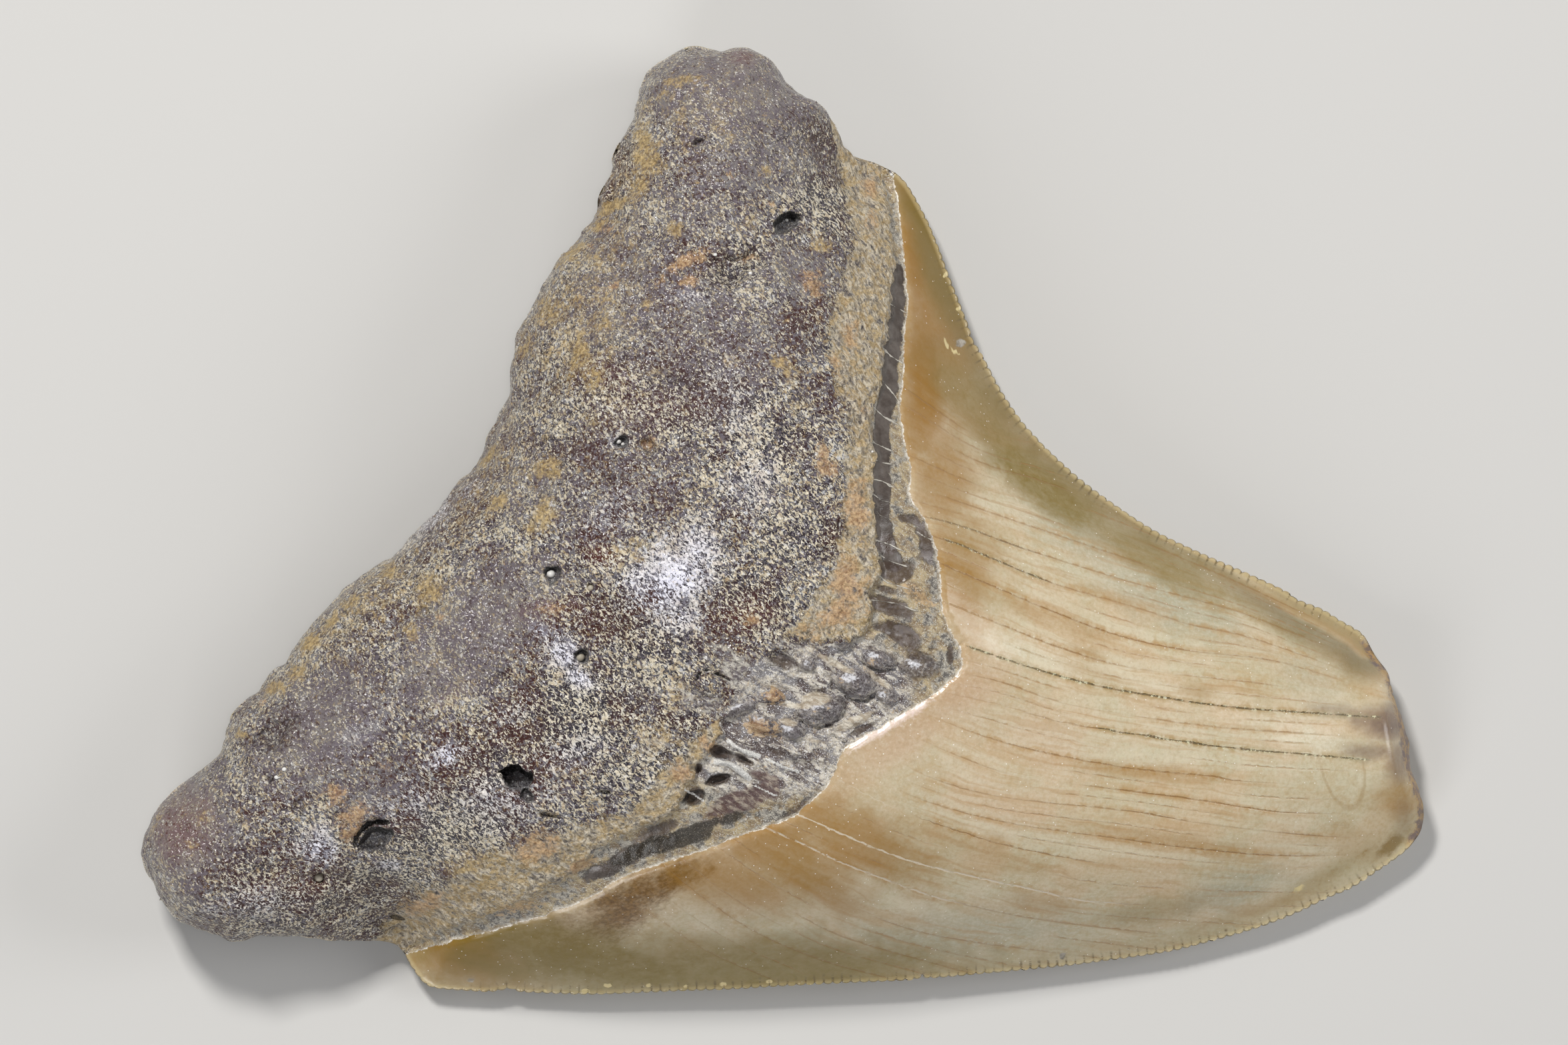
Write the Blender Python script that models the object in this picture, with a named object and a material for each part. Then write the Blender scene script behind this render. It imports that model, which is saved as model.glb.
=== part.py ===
# Fossil shark tooth, one solid: a rough two-lobed root that grew together with a serrated enamel crown.
# It lies on its flat outer face. +Z points out of the rounded inner face, and the broken tip is towards +X.
# The origin is under the middle of the outline, on the plane that the tooth lies on.

import math

import bmesh
import bpy
import numpy as np
from mathutils import Vector, noise
from mathutils.geometry import delaunay_2d_cdt

# Driving sizes, in millimetres
MM = 0.001
CROWN_TILT = math.radians(-15.0)
CROWN_BASE_STATION = 16.0
CROWN_TIP_STATION = 55.0
CROWN_BASE_HEIGHT = 17.6
CROWN_TIP_HEIGHT = 6.6
ROOT_LOBE_HEIGHT = 12.6
ROOT_BULGE_HEIGHT = 8.6
ROOT_BULGE_CENTRE = (0.0, -2.0)
ROOT_BULGE_LENGTH = 30.0
ROOT_BULGE_WIDTH = 17.0
ROOT_DIRECTION = math.radians(55.0)
CUTTING_EDGE_LEVEL = 2.4
CUTTING_EDGE_WAVE = 0.35
CUTTING_EDGE_WAVE_LENGTH = 52.0
ROOT_EDGE_LEVEL = 6.0
ROOT_EDGE_ROUNDING = 9.0
FLANK_WIDTH = 18.0
TIP_FLANK_WIDTH = 9.0
BREAK_WIDTH = 1.5
UNDERSIDE_BREAK_WIDTH = 0.9
BREAK_RISE = 1.0
SERRATION_PITCH = 0.74
SERRATION_DEPTH = 0.14
SERRATION_STAND = 0.1
SERRATION_BACK = 0.42
ENAMEL_STEP = 0.35
ROOT_LEDGE = 0.75
LEDGE_WIDTH = 0.4
UNDERSIDE_FLANK = 9.0
UNDERSIDE_ROUNDING = 6.0
UNDERSIDE_FURROW = 0.45
UNDERSIDE_HOLLOW = 0.9

# Spacing of the facets, in millimetres
ROOT_RIM_STEP = 1.5
LINE_STEP = 1.5
UPPER_FACET = 1.85
UNDER_FACET = 3.2
UPPER_RINGS = (0.45, 1.25, 2.5, 4.1)
UNDER_RINGS = (0.6, 1.8, 3.6)
ON_THE_LINE = 1e-3

# The outline as seen from above, in millimetres, counter-clockwise from the upper shoulder
UPPER_SHOULDER = (9.1, 28.5)
LOWER_SHOULDER = (-30.9, -35.2)
LOWER_CORNER = (51.2, -26.2)
UPPER_CORNER = (47.6, -9.7)
ROOT_EDGE = [
    (7.4, 29.3), (5.5, 29.95), (4.7, 31.1), (3.7, 32.9), (2.8, 34.1), (1.0, 35.1), (0.0, 36.1),
    (-1.1, 37.5), (-2.4, 38.25), (-3.6, 38.5), (-4.9, 38.12), (-6.3, 38.48), (-7.8, 38.4), (-9.0, 37.75),
    (-10.2, 37.25), (-11.3, 36.2), (-11.9, 34.6), (-12.6, 32.3), (-13.8, 29.9), (-13.95, 28.5),
    (-15.0, 26.5), (-15.2, 25.0), (-16.1, 23.6), (-17.3, 22.2), (-18.1, 21.8), (-19.2, 20.0),
    (-20.2, 18.0), (-21.5, 15.5), (-22.1, 13.2), (-22.4, 10.4), (-23.3, 8.2), (-24.1, 6.6),
    (-24.8, 4.8), (-26.2, 3.4), (-27.4, 1.8), (-28.8, 0.3), (-30.4, -1.3), (-31.6, -2.7),
    (-33.6, -3.8), (-35.1, -4.9), (-37.4, -7.3), (-39.4, -9.5), (-40.3, -11.4), (-41.2, -12.0),
    (-42.6, -13.6), (-44.5, -15.3), (-45.2, -16.8), (-45.8, -18.6), (-47.6, -20.3), (-49.6, -22.0),
    (-51.1, -23.5), (-51.75, -25.0), (-52.03, -26.9), (-51.5, -29.0), (-50.5, -30.9), (-49.2, -32.1),
    (-47.1, -33.1), (-45.7, -33.4), (-44.6, -33.95), (-41.0, -33.45), (-38.0, -33.7), (-34.5, -33.95),
    (-31.9, -34.3),
]
LOWER_EDGE = [
    (-30.3, -36.2), (-29.3, -37.5), (-28.3, -37.9), (-26.0, -38.1), (-24.0, -38.2), (-22.3, -37.95),
    (-21.5, -38.2), (-18.5, -38.35), (-15.2, -38.4), (-8.0, -38.1), (-4.0, -37.95), (0.0, -37.7),
    (6.0, -37.4), (10.4, -37.2), (11.3, -36.85), (12.0, -37.05), (16.3, -36.7), (22.4, -36.15),
    (26.0, -35.7), (31.0, -35.0), (34.0, -34.3), (38.1, -33.15), (41.5, -31.9), (44.2, -30.6),
    (46.2, -29.75), (48.0, -28.6), (50.0, -27.2),
]
BREAK_EDGE = [
    (51.9, -25.1), (52.05, -23.6), (51.7, -21.8), (51.0, -20.0), (50.65, -18.0), (50.3, -16.0),
    (49.75, -14.0), (49.3, -12.3), (48.3, -11.0),
]
UPPER_EDGE = [
    (46.9, -8.95), (45.2, -7.95), (43.8, -7.1), (41.8, -6.3), (40.8, -5.6), (37.0, -3.85), (33.0, -2.1),
    (30.0, -0.6), (27.0, 1.35), (24.0, 3.6), (21.5, 5.85), (20.5, 6.9), (19.2, 8.4), (17.5, 10.95),
    (16.1, 13.6), (15.3, 14.9), (15.0, 15.9), (14.5, 17.2), (13.3, 20.3), (12.75, 21.8), (12.0, 23.7),
    (11.4, 25.0), (10.1, 27.3),
]

# Lines across the inner face, from the upper shoulder to the lower one
ENAMEL_LINE = [
    (8.9, 28.0), (9.3, 25.5), (9.6, 22.5), (9.8, 20.0), (10.0, 18.0), (9.7, 15.5), (9.6, 12.5),
    (9.3, 9.5), (9.5, 7.0), (10.1, 4.5), (10.0, 2.2), (10.9, 0.7), (11.8, -1.0), (12.3, -3.0),
    (12.5, -5.5), (12.9, -8.0), (13.9, -9.8), (14.1, -11.6), (12.2, -13.5), (9.5, -15.2), (6.8, -16.8),
    (4.8, -18.0), (4.0, -20.0), (2.5, -21.9), (0.2, -23.7), (-3.3, -24.9), (-6.8, -26.3),
    (-10.0, -27.3), (-13.4, -28.6), (-15.2, -29.9), (-18.8, -31.4), (-22.5, -32.6), (-26.6, -33.8),
    (-30.2, -35.0),
]
ROOT_LINE = [
    (7.9, 28.3), (8.4, 26.0), (8.8, 23.2), (8.9, 20.5), (8.6, 18.0), (8.4, 15.5), (7.9, 13.0),
    (7.8, 11.0), (7.0, 8.8), (6.9, 7.2), (7.3, 5.5), (7.1, 3.0), (7.2, 0.5), (7.4, -2.0), (7.6, -4.2),
    (6.7, -5.6), (7.0, -7.2), (5.6, -9.3), (1.5, -9.9), (-2.6, -11.4), (-4.3, -14.5), (-5.2, -17.0),
    (-6.6, -19.0), (-7.8, -21.0), (-8.8, -23.0), (-11.5, -24.4), (-14.5, -25.8), (-17.0, -28.0),
    (-20.0, -29.9), (-24.0, -31.7), (-28.0, -33.2), (-30.0, -34.1),
]
OUTER_ENAMEL_LINE = [
    (8.2, 27.6), (4.5, 22.0), (0.8, 15.0), (-2.6, 7.0), (-6.0, -2.0), (-10.5, -10.5), (-15.5, -18.0),
    (-21.0, -25.0), (-26.0, -30.5), (-29.8, -34.0),
]

# Hollows in the root: x, y, half length, half width, turn in degrees, depth, and how flat the floor is
HOLLOWS = [
    (0.4, 24.0, 1.35, 0.85, 10.0, 1.2, 0.4),
    (-3.9, 20.8, 3.0, 1.9, 25.0, 0.8, 0.3),
    (-7.0, 30.5, 0.8, 0.4, 25.0, 0.6, 0.2),
    (-14.9, 28.4, 2.2, 4.6, -14.0, 3.2, 0.4),
    (-12.0, 6.2, 1.5, 0.8, -10.0, 0.7, 0.3),
    (-18.3, -4.2, 1.0, 0.95, 0.0, 0.7, 0.4),
    (-16.2, -10.7, 0.75, 0.7, 0.0, 0.7, 0.3),
    (-21.45, -20.6, 1.3, 1.15, -20.0, 1.7, 0.7),
    (-32.7, -25.5, 1.8, 1.7, 20.0, 1.6, 0.6),
    (-37.5, -28.5, 0.65, 0.6, 0.0, 0.6, 0.4),
    (-41.2, -17.2, 1.9, 2.2, -35.0, 1.0, 0.2),
    (-38.9, -22.6, 0.7, 0.5, 30.0, 0.5, 0.2),
    (-6.0, -12.3, 1.1, 0.45, -8.0, 0.8, 0.3),
    (-14.2, -21.5, 0.8, 0.35, -4.0, 0.6, 0.3),
    (-18.9, -23.3, 1.0, 0.35, -10.0, 0.6, 0.3),
    (-0.4, -11.2, 1.5, 1.0, -25.0, 0.7, 0.3),
    (-4.2, -18.5, 1.5, 0.5, -24.0, 0.8, 0.3),
    (-5.3, -20.6, 1.1, 0.5, 12.0, 0.8, 0.3),
    (-7.0, -21.9, 1.0, 0.6, 20.0, 0.8, 0.3),
    (8.6, -3.9, 1.4, 0.7, -12.0, 0.3, 0.3),
    (10.0, -8.9, 1.8, 0.6, -28.0, 0.4, 0.3),
]

# Lumps of root tissue in the band below the crown's peak: x, y, half length, half width, turn, height
LUMPS = [
    (5.6, -12.5, 1.9, 1.05, -14.0, 0.8),
    (2.9, -14.7, 2.3, 1.15, -4.0, 0.75),
    (7.5, -11.0, 1.7, 0.7, -12.0, 0.55),
    (8.1, -13.8, 1.0, 0.7, -20.0, 0.45),
    (0.3, -16.6, 0.9, 0.7, -20.0, 0.45),
    (11.3, -11.2, 2.0, 1.2, -10.0, 0.35),
]


def curve_through(points, step):
    """Evenly spaced points on a smooth curve through the given ones, both ends kept."""
    fine = []
    for i in range(len(points) - 1):
        a = np.array(points[max(i - 1, 0)])
        b = np.array(points[i])
        c = np.array(points[i + 1])
        d = np.array(points[min(i + 2, len(points) - 1)])
        for t in np.linspace(0.0, 1.0, 16, endpoint=False):
            bend = (2 * a - 5 * b + 4 * c - d) * t * t + (3 * b - a - 3 * c + d) * t**3
            fine.append(0.5 * (2 * b + (c - a) * t + bend))
    fine.append(np.array(points[-1]))
    fine = np.array(fine)
    travelled = np.concatenate([[0.0], np.cumsum(np.linalg.norm(np.diff(fine, axis=0), axis=1))])
    count = max(2, round(travelled[-1] / step))
    stops = np.linspace(0.0, travelled[-1], count + 1)
    return np.column_stack([np.interp(stops, travelled, fine[:, k]) for k in (0, 1)])


def left_of(line):
    """Unit vectors to the left of a line at each of its points."""
    along = np.gradient(line, axis=0)
    along /= np.linalg.norm(along, axis=1)[:, None]
    return np.column_stack([-along[:, 1], along[:, 0]])


def serrated(points):
    """A cutting edge whose serrations stand out a little from the line, with a notch after each."""
    line = curve_through(points, SERRATION_PITCH / 2)
    inward = (np.arange(len(line)) % 2) * SERRATION_DEPTH - SERRATION_STAND
    inward[[0, -1]] = 0.0
    return line + left_of(line) * inward[:, None]


def behind_serrations(points):
    """One point a little inside the cutting edge behind each serration."""
    line = curve_through(points, SERRATION_PITCH / 2)
    return (line + left_of(line) * SERRATION_BACK)[2:-2:2]


def distance_to(line, spots):
    """How far each spot is from a line made of straight runs."""
    start = line[:-1]
    run = line[1:] - start
    length = np.maximum((run**2).sum(axis=1), 1e-12)
    nearest = np.full(len(spots), np.inf)
    for a, r, l in zip(start, run, length):
        t = np.clip(((spots - a) @ r) / l, 0.0, 1.0)
        nearest = np.minimum(nearest, np.linalg.norm(spots - a - t[:, None] * r, axis=1))
    return nearest


def inside(loop, spots):
    """Which spots lie inside a closed loop of points."""
    crossed = np.zeros(len(spots), bool)
    for a, b in zip(loop, np.roll(loop, -1, axis=0)):
        spans = (a[1] > spots[:, 1]) != (b[1] > spots[:, 1])
        rise = b[1] - a[1] if b[1] != a[1] else 1.0
        crossing = a[0] + (spots[:, 1] - a[1]) * (b[0] - a[0]) / rise
        crossed ^= spans & (spots[:, 0] < crossing)
    return crossed


def ease(low, high, value):
    """A smooth step from 0 at low to 1 at high."""
    t = np.clip((value - low) / (high - low), 0.0, 1.0)
    return t * t * (3.0 - 2.0 * t)


def flank(share):
    """The crown's cross-section from its edge, 0, to its middle, 1."""
    return np.sin(math.pi / 2 * np.clip(share, 0.0, 1.0)) ** 1.15


def rounded(share):
    """A quarter round from an edge, 0, to the flat behind it, 1."""
    return np.sqrt(1.0 - (1.0 - np.clip(share, 0.0, 1.0)) ** 2)


def broken(share):
    """The steep worn slope at the broken tip, from its foot, 0, to its top, 1."""
    return np.clip(share, 0.0, 1.0) ** 0.6


root_curve = curve_through([UPPER_SHOULDER, *ROOT_EDGE, LOWER_SHOULDER], ROOT_RIM_STEP)
break_curve = curve_through([LOWER_CORNER, *BREAK_EDGE, UPPER_CORNER], 1.2)
lower_points = [LOWER_SHOULDER, *LOWER_EDGE, LOWER_CORNER]
upper_points = [UPPER_CORNER, *UPPER_EDGE, UPPER_SHOULDER]
lower_rim = serrated(lower_points)
upper_rim = serrated(upper_points)
backs = [behind_serrations(lower_points), behind_serrations(upper_points)]
rim = np.concatenate([root_curve[:-1], lower_rim[:-1], break_curve[:-1], upper_rim[:-1]])
lower_curve = curve_through(lower_points, LINE_STEP)
upper_curve = curve_through(upper_points, LINE_STEP)
plain_rim = np.concatenate([root_curve[:-1], lower_curve[:-1], break_curve[:-1], upper_curve[:-1]])
enamel_curve = curve_through(ENAMEL_LINE, LINE_STEP)
root_line_curve = curve_through(ROOT_LINE, LINE_STEP)
outer_enamel_curve = curve_through(OUTER_ENAMEL_LINE, LINE_STEP)


def root_side(line, spots):
    """Distance from a line across the face, positive on the root's side of it."""
    loop = np.concatenate([root_curve, line[::-1]])
    return distance_to(line, spots) * np.where(inside(loop, spots), 1.0, -1.0)


def edge_distances(spots):
    """Distances to the cutting edges, to the root's outline and to the broken tip, exactly 0 on them."""
    cutting = np.minimum(distance_to(lower_rim, spots), distance_to(upper_rim, spots))
    found = [cutting, distance_to(root_curve, spots), distance_to(break_curve, spots)]
    return [np.where(distance < ON_THE_LINE, 0.0, distance) for distance in found]


def station(spots):
    """Distance along the crown's own axis."""
    return spots[:, 0] * math.cos(CROWN_TILT) + spots[:, 1] * math.sin(CROWN_TILT)


def rim_level(spots, cutting, tip):
    """Height of the outline: low and slightly wavy along the crown, higher round the root's lobes."""
    wave = CUTTING_EDGE_WAVE * np.sin(2 * math.pi * station(spots) / CUTTING_EDGE_WAVE_LENGTH)
    low = CUTTING_EDGE_LEVEL + wave
    blunt = BREAK_RISE * ease(0.0, 5.0, cutting) * (1.0 - ease(1.0, 6.0, tip))
    return low + blunt + (ROOT_EDGE_LEVEL - low) * ease(0.0, 10.0, cutting) * ease(5.0, 20.0, tip)


def ellipse_share(spots, x, y, half_length, half_width, turn):
    """0 at the centre of an ellipse and 1 on it."""
    c = math.cos(math.radians(turn))
    s = math.sin(math.radians(turn))
    dx = spots[:, 0] - x
    dy = spots[:, 1] - y
    return np.hypot((dx * c + dy * s) / half_length, (dy * c - dx * s) / half_width)


def root_dome(spots):
    """Height of the root's inner face before its edges are rounded."""
    dx = spots[:, 0] - ROOT_BULGE_CENTRE[0]
    dy = spots[:, 1] - ROOT_BULGE_CENTRE[1]
    along = dx * math.cos(ROOT_DIRECTION) + dy * math.sin(ROOT_DIRECTION)
    across = dy * math.cos(ROOT_DIRECTION) - dx * math.sin(ROOT_DIRECTION)
    spread = (along / ROOT_BULGE_LENGTH) ** 2 + (across / ROOT_BULGE_WIDTH) ** 2
    return ROOT_LOBE_HEIGHT + ROOT_BULGE_HEIGHT * np.exp(-spread / 2)


def unevenness(spots, size, layer):
    """Gentle waves of a given size, between -1 and 1."""
    return np.array([noise.noise(Vector((x / size, y / size, layer))) for x, y in spots])


def upper_height(spots):
    """Height of the inner face above the plane that the tooth lies on."""
    cutting, root, tip = edge_distances(spots)
    along = station(spots)
    fall = (along - CROWN_BASE_STATION) / (CROWN_TIP_STATION - CROWN_BASE_STATION)
    crown = CROWN_BASE_HEIGHT + (CROWN_TIP_HEIGHT - CROWN_BASE_HEIGHT) * np.maximum(fall, -0.1)
    from_enamel = root_side(enamel_curve, spots)
    from_root = root_side(root_line_curve, spots)
    rootward = ease(-6.0, 3.0, from_enamel)
    level = rim_level(spots, cutting, tip)
    full = crown * (1.0 - rootward) + root_dome(spots) * rootward
    full += 0.45 * unevenness(spots, 9.0, 3.0) * rootward
    width = np.interp(along, [CROWN_BASE_STATION, CROWN_TIP_STATION], [FLANK_WIDTH, TIP_FLANK_WIDTH])
    swell = flank(cutting / width) * rounded(root / ROOT_EDGE_ROUNDING)
    height = level + (full - level) * swell
    # The band between root and enamel lies lower than both, deepest beside the root
    half = LEDGE_WIDTH / 2
    in_band = ease(-half, half, from_enamel) * ease(-half, half, -from_root)
    beside_root = np.abs(from_enamel) / (np.abs(from_enamel) + np.abs(from_root) + 1e-6)
    relief = -in_band * (ENAMEL_STEP + (ROOT_LEDGE - ENAMEL_STEP) * beside_root)
    for x, y, half_length, half_width, turn, depth, flat in HOLLOWS:
        share = ellipse_share(spots, x, y, half_length, half_width, turn)
        relief -= depth * (1.0 - ease(flat, 1.0, share))
    for x, y, half_length, half_width, turn, rise in LUMPS:
        share = ellipse_share(spots, x, y, half_length, half_width, turn)
        relief += rise * (1.0 - ease(0.35, 1.0, share))
    near_edge = ease(0.2, 1.6, np.minimum(cutting, root))
    height = np.maximum(height + relief * near_edge, level)
    # The broken tip drops away steeply over a short worn slope
    return level + (height - level) * broken(tip / BREAK_WIDTH)


def under_height(spots):
    """Height of the outer face: flat in the middle, rising to the outline."""
    cutting, root, tip = edge_distances(spots)
    level = rim_level(spots, cutting, tip)
    swell = flank(cutting / UNDERSIDE_FLANK) * rounded(root / UNDERSIDE_ROUNDING)
    swell *= broken(tip / UNDERSIDE_BREAK_WIDTH)
    height = level * (1.0 - swell)
    from_enamel = root_side(outer_enamel_curve, spots)
    furrow = ease(-0.3, 0.3, from_enamel) * (1.0 - ease(0.5, 3.5, from_enamel))
    hollow = 1.0 - ease(0.2, 1.0, ellipse_share(spots, -16.0, 4.0, 17.0, 6.5, 58.0))
    return height + (UNDERSIDE_FURROW * furrow + UNDERSIDE_HOLLOW * hollow) * swell


def spread_out(spots, taken, gap):
    """The spots that keep a gap to every one already taken."""
    taken = np.asarray(taken)
    clear = [np.min((taken[:, 0] - x) ** 2 + (taken[:, 1] - y) ** 2) > gap * gap for x, y in spots]
    return spots[np.array(clear, bool)]


def rings(offsets):
    """Points that follow the outline inside it, at each offset."""
    inward = left_of(np.concatenate([plain_rim[-1:], plain_rim, plain_rim[:1]]))[1:-1]
    found = []
    for offset in offsets:
        ring = plain_rim + inward * offset
        keep = inside(plain_rim, ring) & (distance_to(closed_rim, ring) > 0.9 * offset)
        found.append(ring[keep])
    return found


def facet_grid(spacing):
    """A grid of equal triangles over the whole outline."""
    low = plain_rim.min(axis=0)
    high = plain_rim.max(axis=0)
    rows = np.arange(low[1], high[1], spacing * math.sqrt(0.75))
    grid = []
    for k, y in enumerate(rows):
        for x in np.arange(low[0] + spacing / 2 * (k % 2), high[0], spacing):
            grid.append((x, y))
    grid = np.array(grid)
    return grid[inside(plain_rim, grid)]


def ellipse_points(x, y, half_length, half_width, turn, shares):
    """Points on ellipses inside one another, and their centre."""
    c = math.cos(math.radians(turn))
    s = math.sin(math.radians(turn))
    spots = [(x, y)]
    for share in shares:
        around = math.pi * (half_length + half_width) * share
        count = max(6, round(around / 0.95))
        for k in range(count):
            angle = 2 * math.pi * k / count
            u = half_length * share * math.cos(angle)
            v = half_width * share * math.sin(angle)
            spots.append((x + u * c - v * s, y + u * s + v * c))
    return np.array(spots)


closed_rim = np.concatenate([plain_rim, plain_rim[:1]])


def sheet(bm, height_of, lines, features, ring_offsets, facet):
    """One face of the tooth as a triangulated sheet over the outline, added to the mesh."""
    spots = rim
    edges = [(i, (i + 1) % len(rim)) for i in range(len(rim))]
    for line in lines:
        for side in (-LEDGE_WIDTH / 2, LEDGE_WIDTH / 2):
            run = line + left_of(line) * side
            first = len(spots)
            spots = np.concatenate([spots, run])
            edges += [(first + i, first + i + 1) for i in range(len(run) - 1)]
    for feature in features:
        spots = np.concatenate([spots, spread_out(feature, spots, 0.35)])
    for ring in rings(ring_offsets):
        spots = np.concatenate([spots, spread_out(ring, spots, 0.38)])
    grid = facet_grid(facet)
    grid = grid[distance_to(closed_rim, grid) > ring_offsets[-1] + 0.4 * facet]
    spots = np.concatenate([spots, spread_out(grid, spots, 0.6 * facet)])
    flat, _, faces, *_ = delaunay_2d_cdt([Vector(spot) for spot in spots], edges, [], 1, 1e-6)
    places = np.array([tuple(spot) for spot in flat])
    heights = height_of(places)
    verts = [bm.verts.new((x * MM, y * MM, z * MM)) for (x, y), z in zip(places, heights)]
    return [bm.faces.new([verts[i] for i in face]) for face in faces]


def finish(name, colour, roughness, metallic):
    """A plain material."""
    material = bpy.data.materials.new(name)
    material.use_nodes = True
    shader = material.node_tree.nodes["Principled BSDF"]
    shader.inputs["Base Color"].default_value = (*colour, 1.0)
    shader.inputs["Roughness"].default_value = roughness
    shader.inputs["Metallic"].default_value = metallic
    return material


def make_tooth():
    """The tooth: an inner and an outer sheet welded along their shared outline."""
    bm = bmesh.new()
    features = [ellipse_points(*hollow[:5], (0.55, 1.0)) for hollow in HOLLOWS]
    features += [ellipse_points(*lump[:5], (0.5, 1.0)) for lump in LUMPS]
    inner_lines = [enamel_curve, root_line_curve]
    sheet(bm, upper_height, inner_lines, backs + features, UPPER_RINGS, UPPER_FACET)
    sheet(bm, under_height, [outer_enamel_curve], backs, UNDER_RINGS, UNDER_FACET)
    bmesh.ops.remove_doubles(bm, verts=bm.verts, dist=1e-7)
    bmesh.ops.recalc_face_normals(bm, faces=bm.faces)

    mesh = bpy.data.meshes.new("tooth")
    mesh.materials.append(finish("root_bone", (0.16, 0.13, 0.12), 0.7, 0.0))
    mesh.materials.append(finish("bourlette", (0.11, 0.09, 0.075), 0.5, 0.0))
    mesh.materials.append(finish("enamel", (0.47, 0.33, 0.17), 0.25, 0.0))
    centres = np.array([tuple(face.calc_center_median() / MM) for face in bm.faces])
    upward = np.array([face.normal.z > 0 for face in bm.faces])
    above_enamel = root_side(enamel_curve, centres[:, :2])
    above_root = root_side(root_line_curve, centres[:, :2])
    below_enamel = root_side(outer_enamel_curve, centres[:, :2])
    for face, up, e, r, b in zip(bm.faces, upward, above_enamel, above_root, below_enamel):
        if up:
            face.material_index = 2 if e < 0 else 1 if r < 0 else 0
        else:
            face.material_index = 2 if b < 0 else 0
    bm.to_mesh(mesh)
    bm.free()
    mesh.shade_smooth()
    mesh.set_sharp_from_angle(angle=math.radians(40.0))
    return bpy.data.objects.new("tooth", mesh)


for leftover in list(bpy.data.objects):
    bpy.data.objects.remove(leftover, do_unlink=True)
fossil = bpy.data.collections.new("fossil_tooth")
bpy.context.scene.collection.children.link(fossil)
fossil.objects.link(make_tooth())
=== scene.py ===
import math

import bmesh
import bpy
import numpy as np
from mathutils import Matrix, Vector
from mathutils.geometry import delaunay_2d_cdt


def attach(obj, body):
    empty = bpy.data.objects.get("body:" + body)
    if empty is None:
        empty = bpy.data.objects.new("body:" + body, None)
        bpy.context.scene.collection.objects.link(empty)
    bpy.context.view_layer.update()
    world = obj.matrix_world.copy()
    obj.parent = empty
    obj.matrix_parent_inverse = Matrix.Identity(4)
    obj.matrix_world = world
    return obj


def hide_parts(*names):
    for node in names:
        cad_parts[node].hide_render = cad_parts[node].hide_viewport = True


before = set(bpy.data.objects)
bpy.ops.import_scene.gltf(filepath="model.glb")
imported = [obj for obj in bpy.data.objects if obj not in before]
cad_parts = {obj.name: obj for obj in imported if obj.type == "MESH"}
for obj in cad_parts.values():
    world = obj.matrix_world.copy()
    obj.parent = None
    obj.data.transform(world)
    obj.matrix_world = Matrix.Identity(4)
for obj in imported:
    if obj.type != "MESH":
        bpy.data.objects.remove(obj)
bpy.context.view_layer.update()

# The tooth's outline. The root's edge is worn round and lumpy, the cutting edges carry small rounded
# serrations, and the tip broke off long ago. All places are in millimetres, seen from above, and run
# counter-clockwise from the upper shoulder.
MM = 0.001
SERRATION_PITCH = 0.74
SERRATION_DEPTH = 0.2
SERRATION_STAND = 0.1
SERRATION_GROOVE = 0.08
SERRATION_ROUNDNESS = 0.6
WEAR_WAVE = 4.5
# The corner, and how far along the edge from it the serrations are worn
WORN_BESIDE_CORNERS = ((1, 14.0), (2, 4.0), (3, 3.0), (4, 11.0))
UPPER_SHOULDER = (9.1, 28.5)
LOWER_SHOULDER = (-30.9, -35.2)
LOWER_CORNER = (51.2, -26.2)
UPPER_CORNER = (47.6, -9.7)
ROOT_EDGE = [
    (7.4, 29.3), (5.5, 29.95), (4.7, 31.1), (3.7, 32.9), (2.8, 34.1), (1, 35.1), (0, 36.1), (-1.1, 37.5),
    (-2.4, 38.25), (-3.6, 38.5), (-4.9, 38.12), (-6.3, 38.48), (-7.8, 38.4), (-9, 37.75), (-10.2, 37.25),
    (-11.3, 36.2), (-11.9, 34.6), (-12.6, 32.3), (-13.8, 29.9), (-13.95, 28.5), (-15, 26.5), (-15.2, 25),
    (-16.1, 23.6), (-17.3, 22.2), (-18.1, 21.8), (-19.2, 20), (-20.2, 18), (-21.5, 15.5), (-22.1, 13.2),
    (-22.4, 10.4), (-23.3, 8.2), (-24.1, 6.6), (-24.8, 4.8), (-26.2, 3.4), (-27.4, 1.8), (-28.8, 0.3),
    (-30.4, -1.3), (-31.6, -2.7), (-33.6, -3.8), (-35.1, -4.9), (-37.4, -7.3), (-39.4, -9.5), (-40.3, -11.4),
    (-41.2, -12), (-42.6, -13.6), (-44.5, -15.3), (-45.2, -16.8), (-45.8, -18.6), (-47.6, -20.3),
    (-49.6, -22), (-51.1, -23.5), (-51.75, -25), (-52.03, -26.9), (-51.5, -29), (-50.5, -30.9),
    (-49.2, -32.1), (-47.1, -33.1), (-45.7, -33.4), (-44.6, -33.95), (-41, -33.45), (-38, -33.7),
    (-34.5, -33.95), (-31.9, -34.3),
]
LOWER_EDGE = [
    (-30.3, -36.2), (-29.3, -37.5), (-28.3, -37.9), (-26, -38.1), (-24, -38.2), (-22.3, -37.95),
    (-21.5, -38.2), (-18.5, -38.35), (-15.2, -38.4), (-8, -38.1), (-4, -37.95), (0, -37.7), (6, -37.4),
    (10.4, -37.2), (11.3, -36.85), (12, -37.05), (16.3, -36.7), (22.4, -36.15), (26, -35.7), (31, -35),
    (34, -34.3), (38.1, -33.15), (41.5, -31.9), (44.2, -30.6), (46.2, -29.75), (48, -28.6), (50, -27.2),
]
BREAK_EDGE = [
    (51.9, -25.1), (52.05, -23.6), (51.7, -21.8), (51, -20), (50.65, -18), (50.3, -16), (49.75, -14),
    (49.3, -12.3), (48.3, -11),
]
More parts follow.
